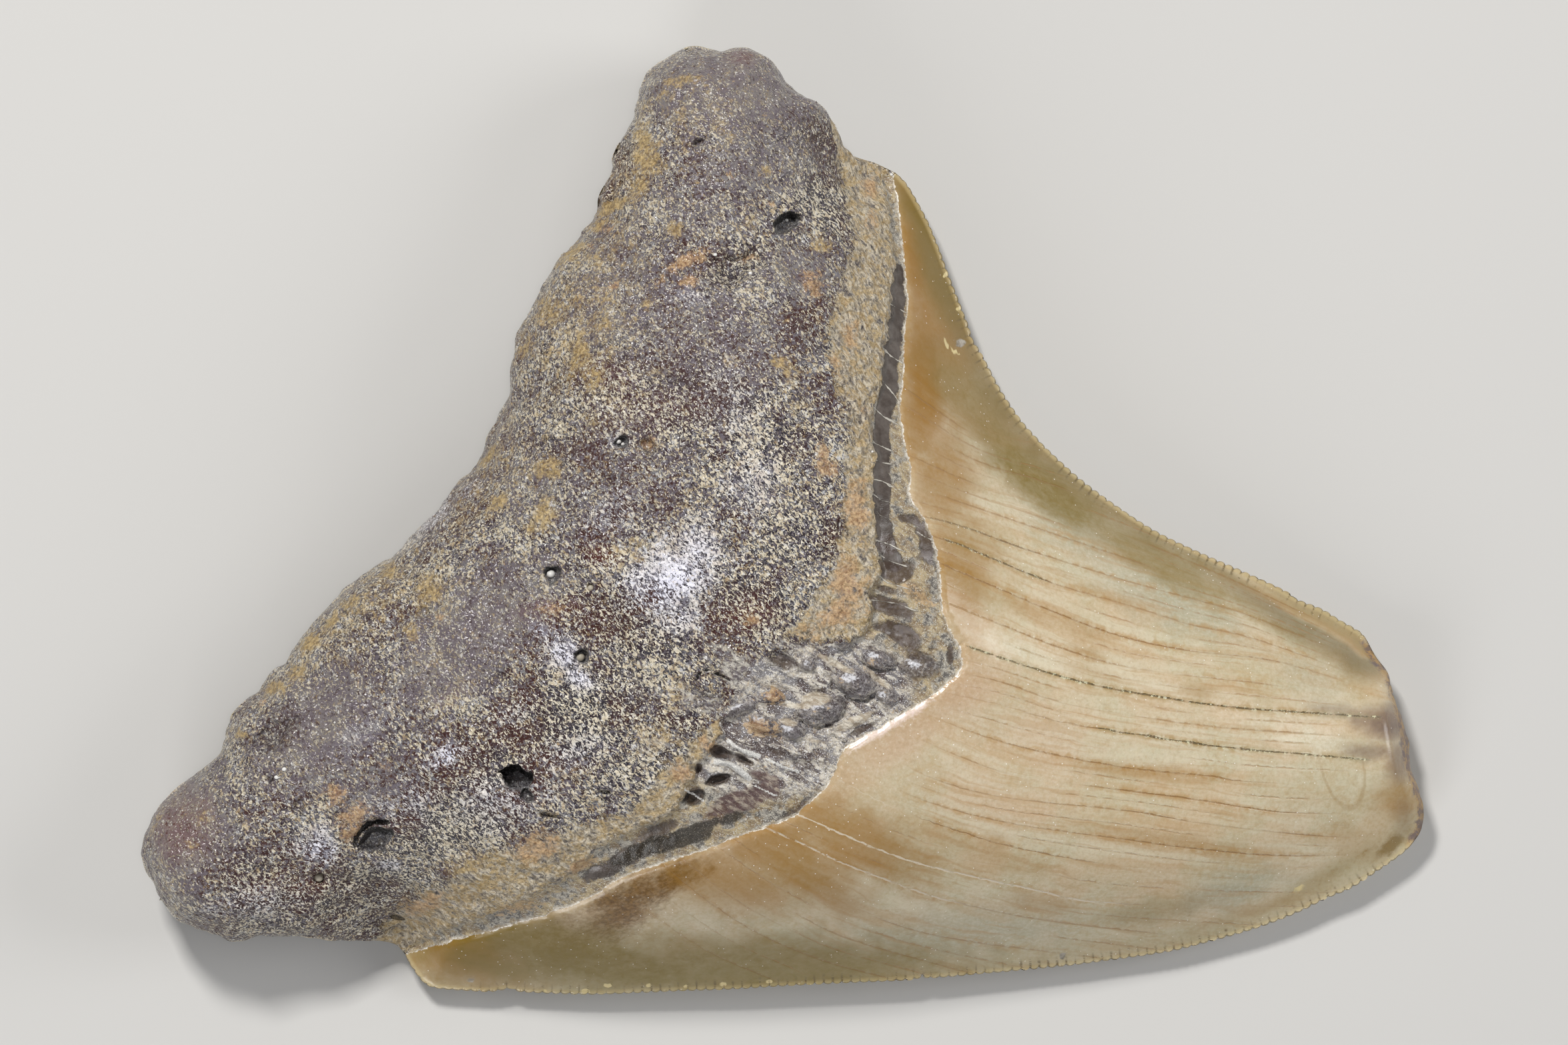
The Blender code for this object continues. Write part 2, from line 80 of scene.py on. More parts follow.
UPPER_EDGE = [
    (46.9, -8.95), (45.2, -7.95), (43.8, -7.1), (41.8, -6.3), (40.8, -5.6), (37, -3.85), (33, -2.1),
    (30, -0.6), (27, 1.35), (24, 3.6), (21.5, 5.85), (20.5, 6.9), (19.2, 8.4), (17.5, 10.95), (16.1, 13.6),
    (15.3, 14.9), (15, 15.9), (14.5, 17.2), (13.3, 20.3), (12.75, 21.8), (12, 23.7), (11.4, 25), (10.1, 27.3),
]


def travelled_along(line):
    """How far along a line each of its points is."""
    return np.concatenate([[0.0], np.cumsum(np.linalg.norm(np.diff(line, axis=0), axis=1))])


def curve_through(points, step):
    """Evenly spaced points on a smooth curve through the given ones, both ends kept."""
    fine = []
    for i in range(len(points) - 1):
        a = np.array(points[max(i - 1, 0)])
        b = np.array(points[i])
        c = np.array(points[i + 1])
        d = np.array(points[min(i + 2, len(points) - 1)])
        for t in np.linspace(0.0, 1.0, 16, endpoint=False):
            bend = (2 * a - 5 * b + 4 * c - d) * t * t + (3 * b - a - 3 * c + d) * t**3
            fine.append(0.5 * (2 * b + (c - a) * t + bend))
    fine.append(np.array(points[-1]))
    fine = np.array(fine)
    travelled = travelled_along(fine)
    count = max(2, round(travelled[-1] / step))
    stops = np.linspace(0.0, travelled[-1], count + 1)
    return np.column_stack([np.interp(stops, travelled, fine[:, k]) for k in (0, 1)])


def left_of(line):
    """Unit vectors to the left of a line at each of its points."""
    along = np.gradient(line, axis=0)
    along /= np.linalg.norm(along, axis=1)[:, None]
    return np.column_stack([-along[:, 1], along[:, 0]])


def lattice_values(cells, seed):
    """A fixed random number from -1 to 1 for each whole-number cell."""
    mixed = cells.astype(np.int64).astype(np.uint32)
    key = mixed[:, 0] * np.uint32(374761393) + mixed[:, 1] * np.uint32(668265263)
    key += mixed[:, 2] * np.uint32(2147483647) + np.uint32(seed * 1274126177 % 2**32)
    key = (key ^ (key >> np.uint32(13))) * np.uint32(1103515245)
    key = (key ^ (key >> np.uint32(16))) * np.uint32(2654435761)
    return (key >> np.uint32(8)).astype(float) / 2**23 - 1.0


def waves(spots, size, seed):
    """Smooth random waves of a given size over places in the plane or in space, from about -1 to 1."""
    if spots.shape[1] == 2:
        spots = np.column_stack([spots, np.zeros(len(spots))])
    scaled = spots / size
    low = np.floor(scaled)
    part = scaled - low
    bend = part**3 * (part * (part * 6 - 15) + 10)
    total = np.zeros(len(spots))
    for corner in np.ndindex(2, 2, 2):
        cell = low + corner
        away = part - corner
        slope = sum(lattice_values(cell, 3 * seed + k) * away[:, k] for k in range(3))
        weight = np.prod(np.where(corner, bend, 1.0 - bend), axis=1)
        total += slope * weight
    return total * 1.6


def layered(spots, size, seed, layers=3):
    """Waves with finer and weaker waves on top."""
    return sum(waves(spots, size / 2**k, seed + 17 * k) / 2**k for k in range(layers))


class Guide:
    """A line that points of the mesh are held to. Travel along it is measured on the plain line."""

    def __init__(self, line, closed=False):
        self.closed = closed
        if closed:
            line = np.concatenate([line, line[:1]])
        self.line = line
        self.travelled = travelled_along(line)
        self.length = self.travelled[-1]
        self.shift = np.zeros(len(line))

    def at(self, travel):
        """Places on the line, shifted sideways where the real edge is jagged."""
        travel = travel % self.length if self.closed else travel
        shifted = self.line + left_of(self.line) * self.shift[:, None]
        return np.column_stack([np.interp(travel, self.travelled, shifted[:, k]) for k in (0, 1)])

    def stops(self, step):
        """Travels spaced evenly along the line."""
        count = max(2, round(self.length / step))
        return np.linspace(0.0, self.length, count + 1)


FINE_STEP = 0.03
runs = [
    curve_through([UPPER_SHOULDER, *ROOT_EDGE, LOWER_SHOULDER], FINE_STEP),
    curve_through([LOWER_SHOULDER, *LOWER_EDGE, LOWER_CORNER], FINE_STEP),
    curve_through([LOWER_CORNER, *BREAK_EDGE, UPPER_CORNER], FINE_STEP),
    curve_through([UPPER_CORNER, *UPPER_EDGE, UPPER_SHOULDER], FINE_STEP),
]
rim = Guide(np.concatenate([run[:-1] for run in runs]), closed=True)
corner_places = np.cumsum([0] + [len(run) - 1 for run in runs])
corners = rim.travelled[corner_places]


def serration_phase(travel, start, end):
    """Counts serrations from one end of a cutting edge, a whole number of them in all."""
    count = round((end - start) / SERRATION_PITCH)
    return (travel - start) / (end - start) * count


def serration_wear(travel):
    """How much of the serrations is left: worn in stretches, and almost gone beside the shoulders."""
    spots = np.column_stack([travel, np.zeros(len(travel))])
    left = 0.75 + 0.5 * waves(spots, WEAR_WAVE, 41)
    for k, reach in WORN_BESIDE_CORNERS:
        left *= 0.35 + 0.65 * np.clip(np.abs(travel - corners[k]) / reach, 0.0, 1.0)
    return np.clip(left, 0.0, 1.0)


for k in (1, 3):
    mine = slice(corner_places[k], corner_places[k + 1] + 1)
    phase = serration_phase(rim.travelled[mine], corners[k], corners[k + 1])
    bead = np.abs(np.sin(math.pi * phase)) ** SERRATION_ROUNDNESS
    depth = SERRATION_DEPTH * (0.25 + 0.75 * serration_wear(rim.travelled[mine]))
    ends = np.clip(np.minimum(phase, phase[-1] - phase), 0.0, 1.0)
    rim.shift[mine] = -ends * (SERRATION_STAND - depth * (1.0 - bead))

# The tooth's body. It is one solid: a rounded inner face, here on top, with the root's bulge and the
# crown's ridge, and an outer face that is almost flat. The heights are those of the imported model.
CROWN_TILT = math.radians(-15.0)
CROWN_BASE_STATION = 16.0
CROWN_TIP_STATION = 55.0
CROWN_BASE_HEIGHT = 17.6
CROWN_TIP_HEIGHT = 6.6
ROOT_LOBE_HEIGHT = 12.6
ROOT_BULGE_HEIGHT = 8.6
CUTTING_EDGE_LEVEL = 2.4
CUTTING_EDGE_WAVE = 0.35
CUTTING_EDGE_WAVE_LENGTH = 52.0
ROOT_EDGE_LEVEL = 6.0
ROOT_EDGE_ROUNDING = 9.0
FLANK_WIDTH = 18.0
TIP_FLANK_WIDTH = 9.0
BREAK_WIDTH = 1.5
UNDERSIDE_BREAK_WIDTH = 0.9
BREAK_RISE = 1.0
ENAMEL_STEP = 0.35
ENAMEL_LIP_DROP = 0.22
ENAMEL_LIP_WIDTH = 0.7
ROOT_LEDGE = 0.75
UNDERSIDE_FLANK = 9.0
UNDERSIDE_ROUNDING = 6.0
UNDERSIDE_FURROW = 0.45
UNDERSIDE_HOLLOW = 0.9
# Each of these is where a change starts and ends, in millimetres
RIDGE_STARTS = (3.0, 9.0)
ROOT_CROWN_BLEND = (-6.0, 3.0)
BREAK_RISE_FROM_EDGE = (0.0, 5.0)
BREAK_RISE_FROM_TIP = (1.0, 6.0)
ROOT_LEVEL_FROM_EDGE = (0.0, 10.0)
ROOT_LEVEL_FROM_TIP = (5.0, 20.0)
SMOOTH_FROM_EDGE = (2.0, 5.5)
FURROW_STARTS = (-0.3, 0.3)
FURROW_ENDS = (0.5, 3.5)
# The width over which the two cutting edges' slopes meet in a soft ridge
RIDGE_SOFTNESS = 7.0
# Ellipses: x, y, half length, half width and turn in degrees
ROOT_BULGE = (0.0, -2.0, 30.0, 17.0, 55.0)
UNDERSIDE_HOLLOW_PLACE = (-16.0, 4.0, 17.0, 6.5, 58.0)
ENAMEL_LINE = [
    (8.9, 28), (9.3, 25.5), (9.6, 22.5), (9.8, 20), (10, 18), (9.7, 15.5), (9.6, 12.5), (9.3, 9.5), (9.5, 7),
    (10.1, 4.5), (10, 2.2), (10.9, 0.7), (11.8, -1), (12.3, -3), (12.5, -5.5), (12.9, -8), (13.9, -9.8),
    (14.1, -11.6), (12.2, -13.5), (9.5, -15.2), (6.8, -16.8), (4.8, -18), (4, -20), (2.5, -21.9),
    (0.2, -23.7), (-3.3, -24.9), (-6.8, -26.3), (-10, -27.3), (-13.4, -28.6), (-15.2, -29.9), (-18.8, -31.4),
    (-22.5, -32.6), (-26.6, -33.8), (-30.2, -35),
]
ROOT_LINE = [
    (7.9, 28.3), (8.4, 26), (8.8, 23.2), (8.9, 20.5), (8.6, 18), (8.4, 15.5), (7.9, 13), (7.8, 11), (7, 8.8),
    (6.9, 7.2), (7.3, 5.5), (7.1, 3), (7.2, 0.5), (7.4, -2), (7.6, -4.2), (6.7, -5.6), (7, -7.2), (5.6, -9.3),
    (1.5, -9.9), (-2.6, -11.4), (-4.3, -14.5), (-5.2, -17), (-6.6, -19), (-7.8, -21), (-8.8, -23),
    (-11.5, -24.4), (-14.5, -25.8), (-17, -28), (-20, -29.9), (-24, -31.7), (-28, -33.2), (-30, -34.1),
]
OUTER_ENAMEL_LINE = [
    (8.2, 27.6), (4.5, 22), (0.8, 15), (-2.6, 7), (-6, -2), (-10.5, -10.5), (-15.5, -18), (-21, -25),
    (-26, -30.5), (-29.8, -34),
]


def guide_through(points, roughness, size, seed):
    """A joint line, jagged at the size given."""
    guide = Guide(curve_through(points, FINE_STEP))
    spots = np.column_stack([guide.travelled, np.zeros(len(guide.travelled))])
    fade = np.clip(np.minimum(guide.travelled, guide.length - guide.travelled) / 2.0, 0.0, 1.0)
    guide.shift = roughness * layered(spots, size, seed) * fade
    return guide


enamel_guide = guide_through(ENAMEL_LINE, 0.16, 1.1, 3)
root_guide = guide_through(ROOT_LINE, 0.42, 1.0, 9)
outer_guide = guide_through(OUTER_ENAMEL_LINE, 0.3, 2.2, 15)


def nearest(line, spots):
    """How far each spot is from a line made of straight runs, and how far along it that is."""
    start = line[:-1]
    run = line[1:] - start
    length = np.linalg.norm(run, axis=1)
    travelled = travelled_along(line)
    best = np.full(len(spots), np.inf)
    travel = np.zeros(len(spots))
    for a, r, l, gone in zip(start, run, length, travelled):
        away = spots - a
        t = np.clip((away @ r) / (l * l), 0.0, 1.0)
        apart = (away[:, 0] - t * r[0]) ** 2 + (away[:, 1] - t * r[1]) ** 2
        closer = apart < best
        best[closer] = apart[closer]
        travel[closer] = gone + t[closer] * l
    return np.sqrt(best), travel


def inside(loop, spots):
    """Which spots lie inside a closed loop of points."""
    crossed = np.zeros(len(spots), bool)
    for a, b in zip(loop, np.roll(loop, -1, axis=0)):
        spans = (a[1] > spots[:, 1]) != (b[1] > spots[:, 1])
        rise = b[1] - a[1] if b[1] != a[1] else 1.0
        crossing = a[0] + (spots[:, 1] - a[1]) * (b[0] - a[0]) / rise
        crossed ^= spans & (spots[:, 0] < crossing)
    return crossed


def ease(low, high, value):
    """A smooth step from 0 at low to 1 at high."""
    t = np.clip((value - low) / (high - low), 0.0, 1.0)
    return t * t * (3.0 - 2.0 * t)


def flank(share):
    """The crown's cross-section from its edge, 0, to its middle, 1."""
    return np.sin(math.pi / 2 * np.clip(share, 0.0, 1.0)) ** 1.15


def rounded(share):
    """A quarter round from an edge, 0, to the flat behind it, 1."""
    return np.sqrt(1.0 - (1.0 - np.clip(share, 0.0, 1.0)) ** 2)


def broken(share):
    """The steep worn slope at the broken tip, from its foot, 0, to its top, 1."""
    return np.clip(share, 0.0, 1.0) ** 0.6


COARSE = 40
coarse_runs = [np.concatenate([run[:-1:COARSE], run[-1:]]) for run in runs]
root_coarse, lower_coarse, break_coarse, upper_coarse = coarse_runs
plain_rim = np.concatenate([run[:-1] for run in coarse_runs])
closed_rim = np.concatenate([plain_rim, plain_rim[:1]])
GUIDE_STEP = 0.5


def root_side(guide, spots):
    """Distance from a joint line, positive on the root's side of it."""
    line = guide.at(guide.stops(GUIDE_STEP))
    loop = np.concatenate([root_coarse, line[::-1]])
    return nearest(line, spots)[0] * np.where(inside(loop, spots), 1.0, -1.0)


def station(spots):
    """Distance along the crown's own axis."""
    return spots[:, 0] * math.cos(CROWN_TILT) + spots[:, 1] * math.sin(CROWN_TILT)


def rim_level(spots, cutting, tip):
    """Height of the outline: low and slightly wavy along the crown, higher round the root's lobes."""
    wave = CUTTING_EDGE_WAVE * np.sin(2 * math.pi * station(spots) / CUTTING_EDGE_WAVE_LENGTH)
    low = CUTTING_EDGE_LEVEL + wave
    blunt = BREAK_RISE * ease(*BREAK_RISE_FROM_EDGE, cutting) * (1.0 - ease(*BREAK_RISE_FROM_TIP, tip))
    high = ease(*ROOT_LEVEL_FROM_EDGE, cutting) * ease(*ROOT_LEVEL_FROM_TIP, tip)
    return low + blunt + (ROOT_EDGE_LEVEL - low) * high


def edge_distances(spots):
    """Distances to the cutting edges, to the root's outline and to the broken tip."""
    low = nearest(lower_coarse, spots)[0]
    high = nearest(upper_coarse, spots)[0]
    near = np.clip(RIDGE_SOFTNESS - np.abs(low - high), 0.0, RIDGE_SOFTNESS) / RIDGE_SOFTNESS
    blend = near * near * RIDGE_SOFTNESS / 4 * ease(*RIDGE_STARTS, np.minimum(low, high))
    cutting = np.minimum(low, high) - blend
    return cutting, nearest(root_coarse, spots)[0], nearest(break_coarse, spots)[0]


def ellipse_share(spots, x, y, half_length, half_width, turn):
    """0 at the centre of an ellipse and 1 on it."""
    c = math.cos(math.radians(turn))
    s = math.sin(math.radians(turn))
    dx = spots[:, 0] - x
    dy = spots[:, 1] - y
    return np.hypot((dx * c + dy * s) / half_length, (dy * c - dx * s) / half_width)


def root_dome(spots):
    """Height of the root's inner face before its edges are rounded."""
    return ROOT_LOBE_HEIGHT + ROOT_BULGE_HEIGHT * np.exp(-(ellipse_share(spots, *ROOT_BULGE) ** 2) / 2)


def inner_swell(spots):
    """The inner face before it is smoothed."""
    cutting, root, tip = edge_distances(spots)
    along = station(spots)
    fall = (along - CROWN_BASE_STATION) / (CROWN_TIP_STATION - CROWN_BASE_STATION)
    crown = CROWN_BASE_HEIGHT + (CROWN_TIP_HEIGHT - CROWN_BASE_HEIGHT) * np.maximum(fall, -0.1)
    rootward = ease(*ROOT_CROWN_BLEND, root_side(enamel_guide, spots))
    level = rim_level(spots, cutting, tip)
    full = crown * (1.0 - rootward) + root_dome(spots) * rootward
    width = np.interp(along, [CROWN_BASE_STATION, CROWN_TIP_STATION], [FLANK_WIDTH, TIP_FLANK_WIDTH])
    swell = flank(cutting / width) * rounded(root / ROOT_EDGE_ROUNDING)
    height = level + (full - level) * swell
    return level + (height - level) * broken(tip / BREAK_WIDTH), np.minimum(np.minimum(cutting, root), tip)


GRID_STEP = 0.5
GRID_MARGIN = 1.0
SMOOTHING_PASSES = 26
grid_low = plain_rim.min(axis=0) - GRID_MARGIN
grid_size = np.ceil((plain_rim.max(axis=0) + GRID_MARGIN - grid_low) / GRID_STEP).astype(int) + 1
grid_x, grid_y = np.meshgrid(*[grid_low[k] + GRID_STEP * np.arange(grid_size[k]) for k in (0, 1)])
grid_spots = np.column_stack([grid_x.ravel(), grid_y.ravel()])
grid_held = inside(plain_rim, grid_spots).reshape(grid_x.shape).astype(float)
grid_height = inner_swell(grid_spots)[0].reshape(grid_x.shape) * grid_held
for _ in range(SMOOTHING_PASSES):
    for axis in (0, 1):
        grid_height = (np.roll(grid_height, 1, axis) + 2 * grid_height + np.roll(grid_height, -1, axis)) / 4
        grid_held = (np.roll(grid_held, 1, axis) + 2 * grid_held + np.roll(grid_held, -1, axis)) / 4
grid_height /= np.maximum(grid_held, 1e-6)


def on_grid(spots):
    """The smoothed inner face."""
    place = (spots - grid_low) / GRID_STEP
    low = np.clip(np.floor(place).astype(int), 1, grid_size - 3)
    t = place - low
    weights = []
    for k in (0, 1):
        u = t[:, k]
        weights.append([
            (-u + 2 * u**2 - u**3) / 2, (2 - 5 * u**2 + 3 * u**3) / 2,
            (u + 4 * u**2 - 3 * u**3) / 2, (-(u**2) + u**3) / 2,
        ])
    total = np.zeros(len(spots))
    for j in range(4):
        for i in range(4):
            here = grid_height[low[:, 1] + j - 1, low[:, 0] + i - 1]
            total += here * weights[0][i] * weights[1][j]
    return total


def inner_form(spots):
    """Height of the inner face, without its surface relief."""
    exact, from_edge = inner_swell(spots)
    share = ease(*SMOOTH_FROM_EDGE, from_edge)
    return exact * (1.0 - share) + on_grid(spots) * share


def outer_form(spots):
    """Height of the outer face: flat in the middle, rising to the outline."""
    cutting, root, tip = edge_distances(spots)
    level = rim_level(spots, cutting, tip)
    swell = flank(cutting / UNDERSIDE_FLANK) * rounded(root / UNDERSIDE_ROUNDING)
    swell *= broken(tip / UNDERSIDE_BREAK_WIDTH)
    from_enamel = root_side(outer_guide, spots)
    furrow = ease(*FURROW_STARTS, from_enamel) * (1.0 - ease(*FURROW_ENDS, from_enamel))
    hollow = 1.0 - ease(0.2, 1.0, ellipse_share(spots, *UNDERSIDE_HOLLOW_PLACE))
    return level * (1.0 - swell) + (UNDERSIDE_FURROW * furrow + UNDERSIDE_HOLLOW * hollow) * swell


def spread_out(spots, taken, gap):
    """The spots that keep a gap to every one already taken."""
    clear = [np.min((taken[:, 0] - x) ** 2 + (taken[:, 1] - y) ** 2) > gap * gap for x, y in spots]
    return spots[np.array(clear, bool)]


def even_grid(spacing):
    """A grid of equal triangles over the whole outline."""
    low = plain_rim.min(axis=0)
    high = plain_rim.max(axis=0)
    rows = np.arange(low[1], high[1], spacing * math.sqrt(0.75))
    starts = [low[0] + spacing / 2 * (k % 2) for k in range(len(rows))]
    grid = np.array([(x, y) for y, start in zip(rows, starts) for x in np.arange(start, high[0], spacing)])
    return grid[inside(plain_rim, grid)]


# Travels of the outline's own points: two to each serration, wider round the root and the break
ROOT_RIM_STEP = 1.0
BREAK_RIM_STEP = 0.8
rim_stops = []
for start, end, step in zip(corners[:-1], corners[1:], (ROOT_RIM_STEP, None, BREAK_RIM_STEP, None)):
    count = round((end - start) / step) if step else 2 * round((end - start) / SERRATION_PITCH)
    rim_stops.append(start + (end - start) * np.arange(count) / count)
rim_stops = np.concatenate(rim_stops)
# Which line a point of the mesh is held to: the outline, or the first or second line inside it
RIM, FIRST_LINE, SECOND_LINE = 1, 2, 3
# Shares of their spacing that the mesh's first points keep clear of each other and of the outline
GRID_GAP = 0.62
GRID_CLEAR = 0.3
# The same beside the outline, in millimetres
RING_GAP = 0.28
# Two points nearer than this along one line are neighbours on it. Long edges are split until none is left.
SAME_RUN_REACH = 1.3
SPLITTING_PASSES = 7
LONGEST_ON_CUTTING_EDGE = 0.1
LONGEST_ROUND_ROOT = 0.3


def sheet(guides, spacing_at, form, longest_at, ring_offsets):
    """One face of the tooth as a triangulated sheet whose facets are no larger than wanted anywhere."""
    spots = rim.at(rim_stops)
    travel = rim_stops
    owner = np.full(len(spots), RIM)
    edges = [(i, (i + 1) % len(spots)) for i in range(len(spots))]
    for number, (guide, step) in enumerate(guides, RIM + 1):
        stops = guide.stops(step)
        first = len(spots)
        spots = np.concatenate([spots, guide.at(stops)])
        travel = np.concatenate([travel, stops])
        owner = np.concatenate([owner, np.full(len(stops), number)])
        edges += [(first + i, first + i + 1) for i in range(len(stops) - 1)]
    held = len(spots)
    inward = left_of(np.concatenate([plain_rim[-1:], plain_rim, plain_rim[:1]]))[1:-1]
    for offset in ring_offsets:
        ring = plain_rim + inward * offset
        ring = ring[inside(plain_rim, ring) & (nearest(closed_rim, ring)[0] > 0.9 * offset)]
        spots = np.concatenate([spots, spread_out(ring, spots, RING_GAP)])
    for spacing, wanted in spacing_at:
        grid = even_grid(spacing)
        clear = nearest(closed_rim, grid)[0] > ring_offsets[-1] + GRID_CLEAR * spacing
        grid = grid[wanted(grid) & clear]
        spots = np.concatenate([spots, spread_out(grid, spots, GRID_GAP * spacing)])
    flat, _, faces, origins, *_ = delaunay_2d_cdt([Vector(spot) for spot in spots], edges, [], 1, 1e-6)
    origins = np.array([min(origin) if origin else held for origin in origins])
    places = np.array([tuple(spot) for spot in flat])
    faces = np.array(faces)
    known = origins < held
    line_travel = np.zeros(len(places))
    line_owner = np.zeros(len(places), int)
    line_travel[known] = travel[origins[known]]
    line_owner[known] = owner[origins[known]]
    places[known] = spots[origins[known]]
    heights = form(places)
    on_rim = line_owner == RIM
    heights[on_rim] = rim_heights(places[on_rim])
    all_guides = {RIM: rim, **{n: g for n, (g, _) in enumerate(guides, RIM + 1)}}
    for _ in range(SPLITTING_PASSES):
        ends = np.sort(np.concatenate([faces[:, [0, 1]], faces[:, [1, 2]], faces[:, [2, 0]]]), axis=1)
        pairs, index = np.unique(ends, axis=0, return_inverse=True)
        a, b = pairs.T
        middle = (places[a] + places[b]) / 2
        length = np.sqrt(((places[a] - places[b]) ** 2).sum(axis=1) + (heights[a] - heights[b]) ** 2)
        gap = np.abs(line_travel[a] - line_travel[b])
        same = (line_owner[a] == line_owner[b]) & (line_owner[a] > 0)
        wraps = same & (line_owner[a] == RIM) & (gap > rim.length / 2)
        gap = np.where(wraps, rim.length - gap, gap)
        same &= gap < SAME_RUN_REACH
        rim_edge = same & (line_owner[a] == RIM)
        middle_travel = (line_travel[a] + line_travel[b]) / 2
        middle_travel = np.where(wraps, (middle_travel + rim.length / 2) % rim.length, middle_travel)
        cut = length > longest_at(middle)
        on_edge = (middle_travel > corners[1]) & (middle_travel < corners[2]) | (middle_travel > corners[3])
        longest = np.where(on_edge, LONGEST_ON_CUTTING_EDGE, LONGEST_ROUND_ROOT)
        cut[rim_edge] = gap[rim_edge] > longest[rim_edge]
        if not cut.any():
            break
        new = middle[cut]
        new_travel = np.where(same, middle_travel, 0.0)[cut]
        new_owner = np.where(same, line_owner[a], 0)[cut]
        for number, guide in all_guides.items():
            mine = new_owner == number
            if mine.any():
                new[mine] = guide.at(new_travel[mine])
        new_heights = form(new)
        mine = new_owner == RIM
        new_heights[mine] = rim_heights(new[mine])
        halfway = np.full(len(pairs), -1)
        halfway[cut] = len(places) + np.arange(cut.sum())
        places = np.concatenate([places, new])
        heights = np.concatenate([heights, new_heights])
        line_travel = np.concatenate([line_travel, new_travel])
        line_owner = np.concatenate([line_owner, new_owner])
        faces = divided(faces, halfway[index.reshape(-1)].reshape(3, -1).T)
    return places, heights, faces, line_owner, line_travel


def divided(faces, halfway):
    """Triangles split at the halfway points of their edges, where there are any."""
    found = [faces[(halfway < 0).all(axis=1)]]
    whole = (halfway >= 0).all(axis=1)
    six = np.column_stack([faces[whole], halfway[whole]])
    found += [six[:, corner] for corner in ([0, 3, 5], [3, 1, 4], [5, 4, 2], [3, 4, 5])]
    for turn in range(3):
        v = np.roll(faces, -turn, axis=1)
        m = np.roll(halfway, -turn, axis=1)
        one = (m[:, 0] >= 0) & (m[:, 1] < 0) & (m[:, 2] < 0)
        found.append(np.column_stack([v[one, 0], m[one, 0], v[one, 2]]))
        found.append(np.column_stack([m[one, 0], v[one, 1], v[one, 2]]))
        two = (m[:, 0] >= 0) & (m[:, 1] >= 0) & (m[:, 2] < 0)
        found.append(np.column_stack([m[two, 0], v[two, 1], m[two, 1]]))
        found.append(np.column_stack([v[two, 0], m[two, 0], m[two, 1]]))
        found.append(np.column_stack([v[two, 0], m[two, 1], v[two, 2]]))
    return np.concatenate(found)


def rim_heights(spots):
    """Heights of the outline itself."""
    low = nearest(lower_coarse, spots)[0]
    high = nearest(upper_coarse, spots)[0]
    return rim_level(spots, np.minimum(low, high), nearest(break_coarse, spots)[0])


# The root's surface. It is porous bone, worn smooth and then pitted: vessel holes, a few with sand grains
# in them, rough hollows where the crust broke out, and low lumps and folds below the crown's peak.
# Hollows and lumps are ellipses with a depth and how flat the floor is, or with a height
HOLLOWS = [
    (0.25, 24.1, 1.3, 0.85, 22, 1.6, 0.45), (-3.9, 20.6, 2.9, 1.8, 20, 0.9, 0.3),
    (-6.9, 30.5, 0.8, 0.3, 35, 0.7, 0.3), (-14.9, 28.4, 2.2, 4.6, -14, 3.2, 0.4),
    (-12.9, 6.3, 0.7, 0.6, 10, 0.9, 0.4), (-10.9, 6.1, 1, 0.75, -10, 0.7, 0.3),
    (-18.5, -4.2, 0.9, 0.85, 0, 0.9, 0.5), (-16.1, -10.7, 0.7, 0.6, 0, 0.9, 0.4),
    (-21.4, -20.5, 1.3, 1.1, -25, 2.1, 0.8), (-20.5, -21.9, 0.7, 0.5, -40, 1, 0.5),
    (-32.8, -25.6, 1.5, 1.1, 35, 1.1, 0.6), (-37.5, -28.6, 0.6, 0.5, 0, 0.7, 0.5),
    (-41.2, -17.2, 2.2, 1.5, 50, 1.1, 0.2), (-39.3, -16, 0.9, 0.5, 50, 0.6, 0.2),
    (-38.9, -22.6, 0.7, 0.4, 60, 0.5, 0.2), (-41.1, -20.7, 0.6, 0.35, 60, 0.5, 0.2),
    (-14.2, -21.5, 0.7, 0.25, -8, 0.6, 0.3), (-18.8, -23.4, 1, 0.3, -12, 0.7, 0.3),
    (-0.3, -10.8, 1.3, 0.9, -25, 0.6, 0.3), (2.3, -8.7, 0.7, 0.9, 10, 0.5, 0.3),
    (-5, -18.3, 1.1, 0.5, -15, 0.8, 0.3), (-3.2, -18.9, 0.9, 0.3, -25, 0.7, 0.3),
    (-5.2, -20.5, 1.2, 0.45, 15, 0.9, 0.3), (-7.1, -19.6, 0.6, 0.5, 0, 0.6, 0.3),
    (-7.2, -22, 1, 0.75, 20, 0.9, 0.3), (8.6, -3.9, 1.6, 0.9, -12, 0.2, 0.1),
    (8.6, -6.9, 1.4, 0.7, -15, 0.2, 0.1), (9.3, -8.8, 2, 0.8, -25, 0.3, 0.1),
    (-15.4, -5.1, 0.4, 0.35, 0, 0.5, 0.3), (-10.3, 28.8, 0.45, 0.4, 0, 0.4, 0.3),
    (-11, 15.6, 0.55, 0.12, 80, 0.6, 0.2), (-31.4, -32.1, 0.8, 0.2, -10, 0.6, 0.2),
    (-26, -17.6, 0.8, 0.6, 0, 0.35, 0.2), (-22.6, -12.3, 0.7, 0.5, 40, 0.3, 0.2),
    (-29, -7.2, 0.8, 0.5, 20, 0.35, 0.2), (-8.2, 1.5, 0.6, 0.5, 0, 0.3, 0.2),
    (-14, 3.3, 1, 0.6, -30, 0.35, 0.2), (4.7, -0.8, 0.7, 1.6, 15, 0.45, 0.2),
    (3.4, -2.4, 1.3, 0.6, 30, 0.35, 0.2), (5.8, 8, 0.9, 0.6, -30, 0.35, 0.2),
    (4.6, 10.4, 1.2, 0.4, -50, 0.35, 0.2),
]
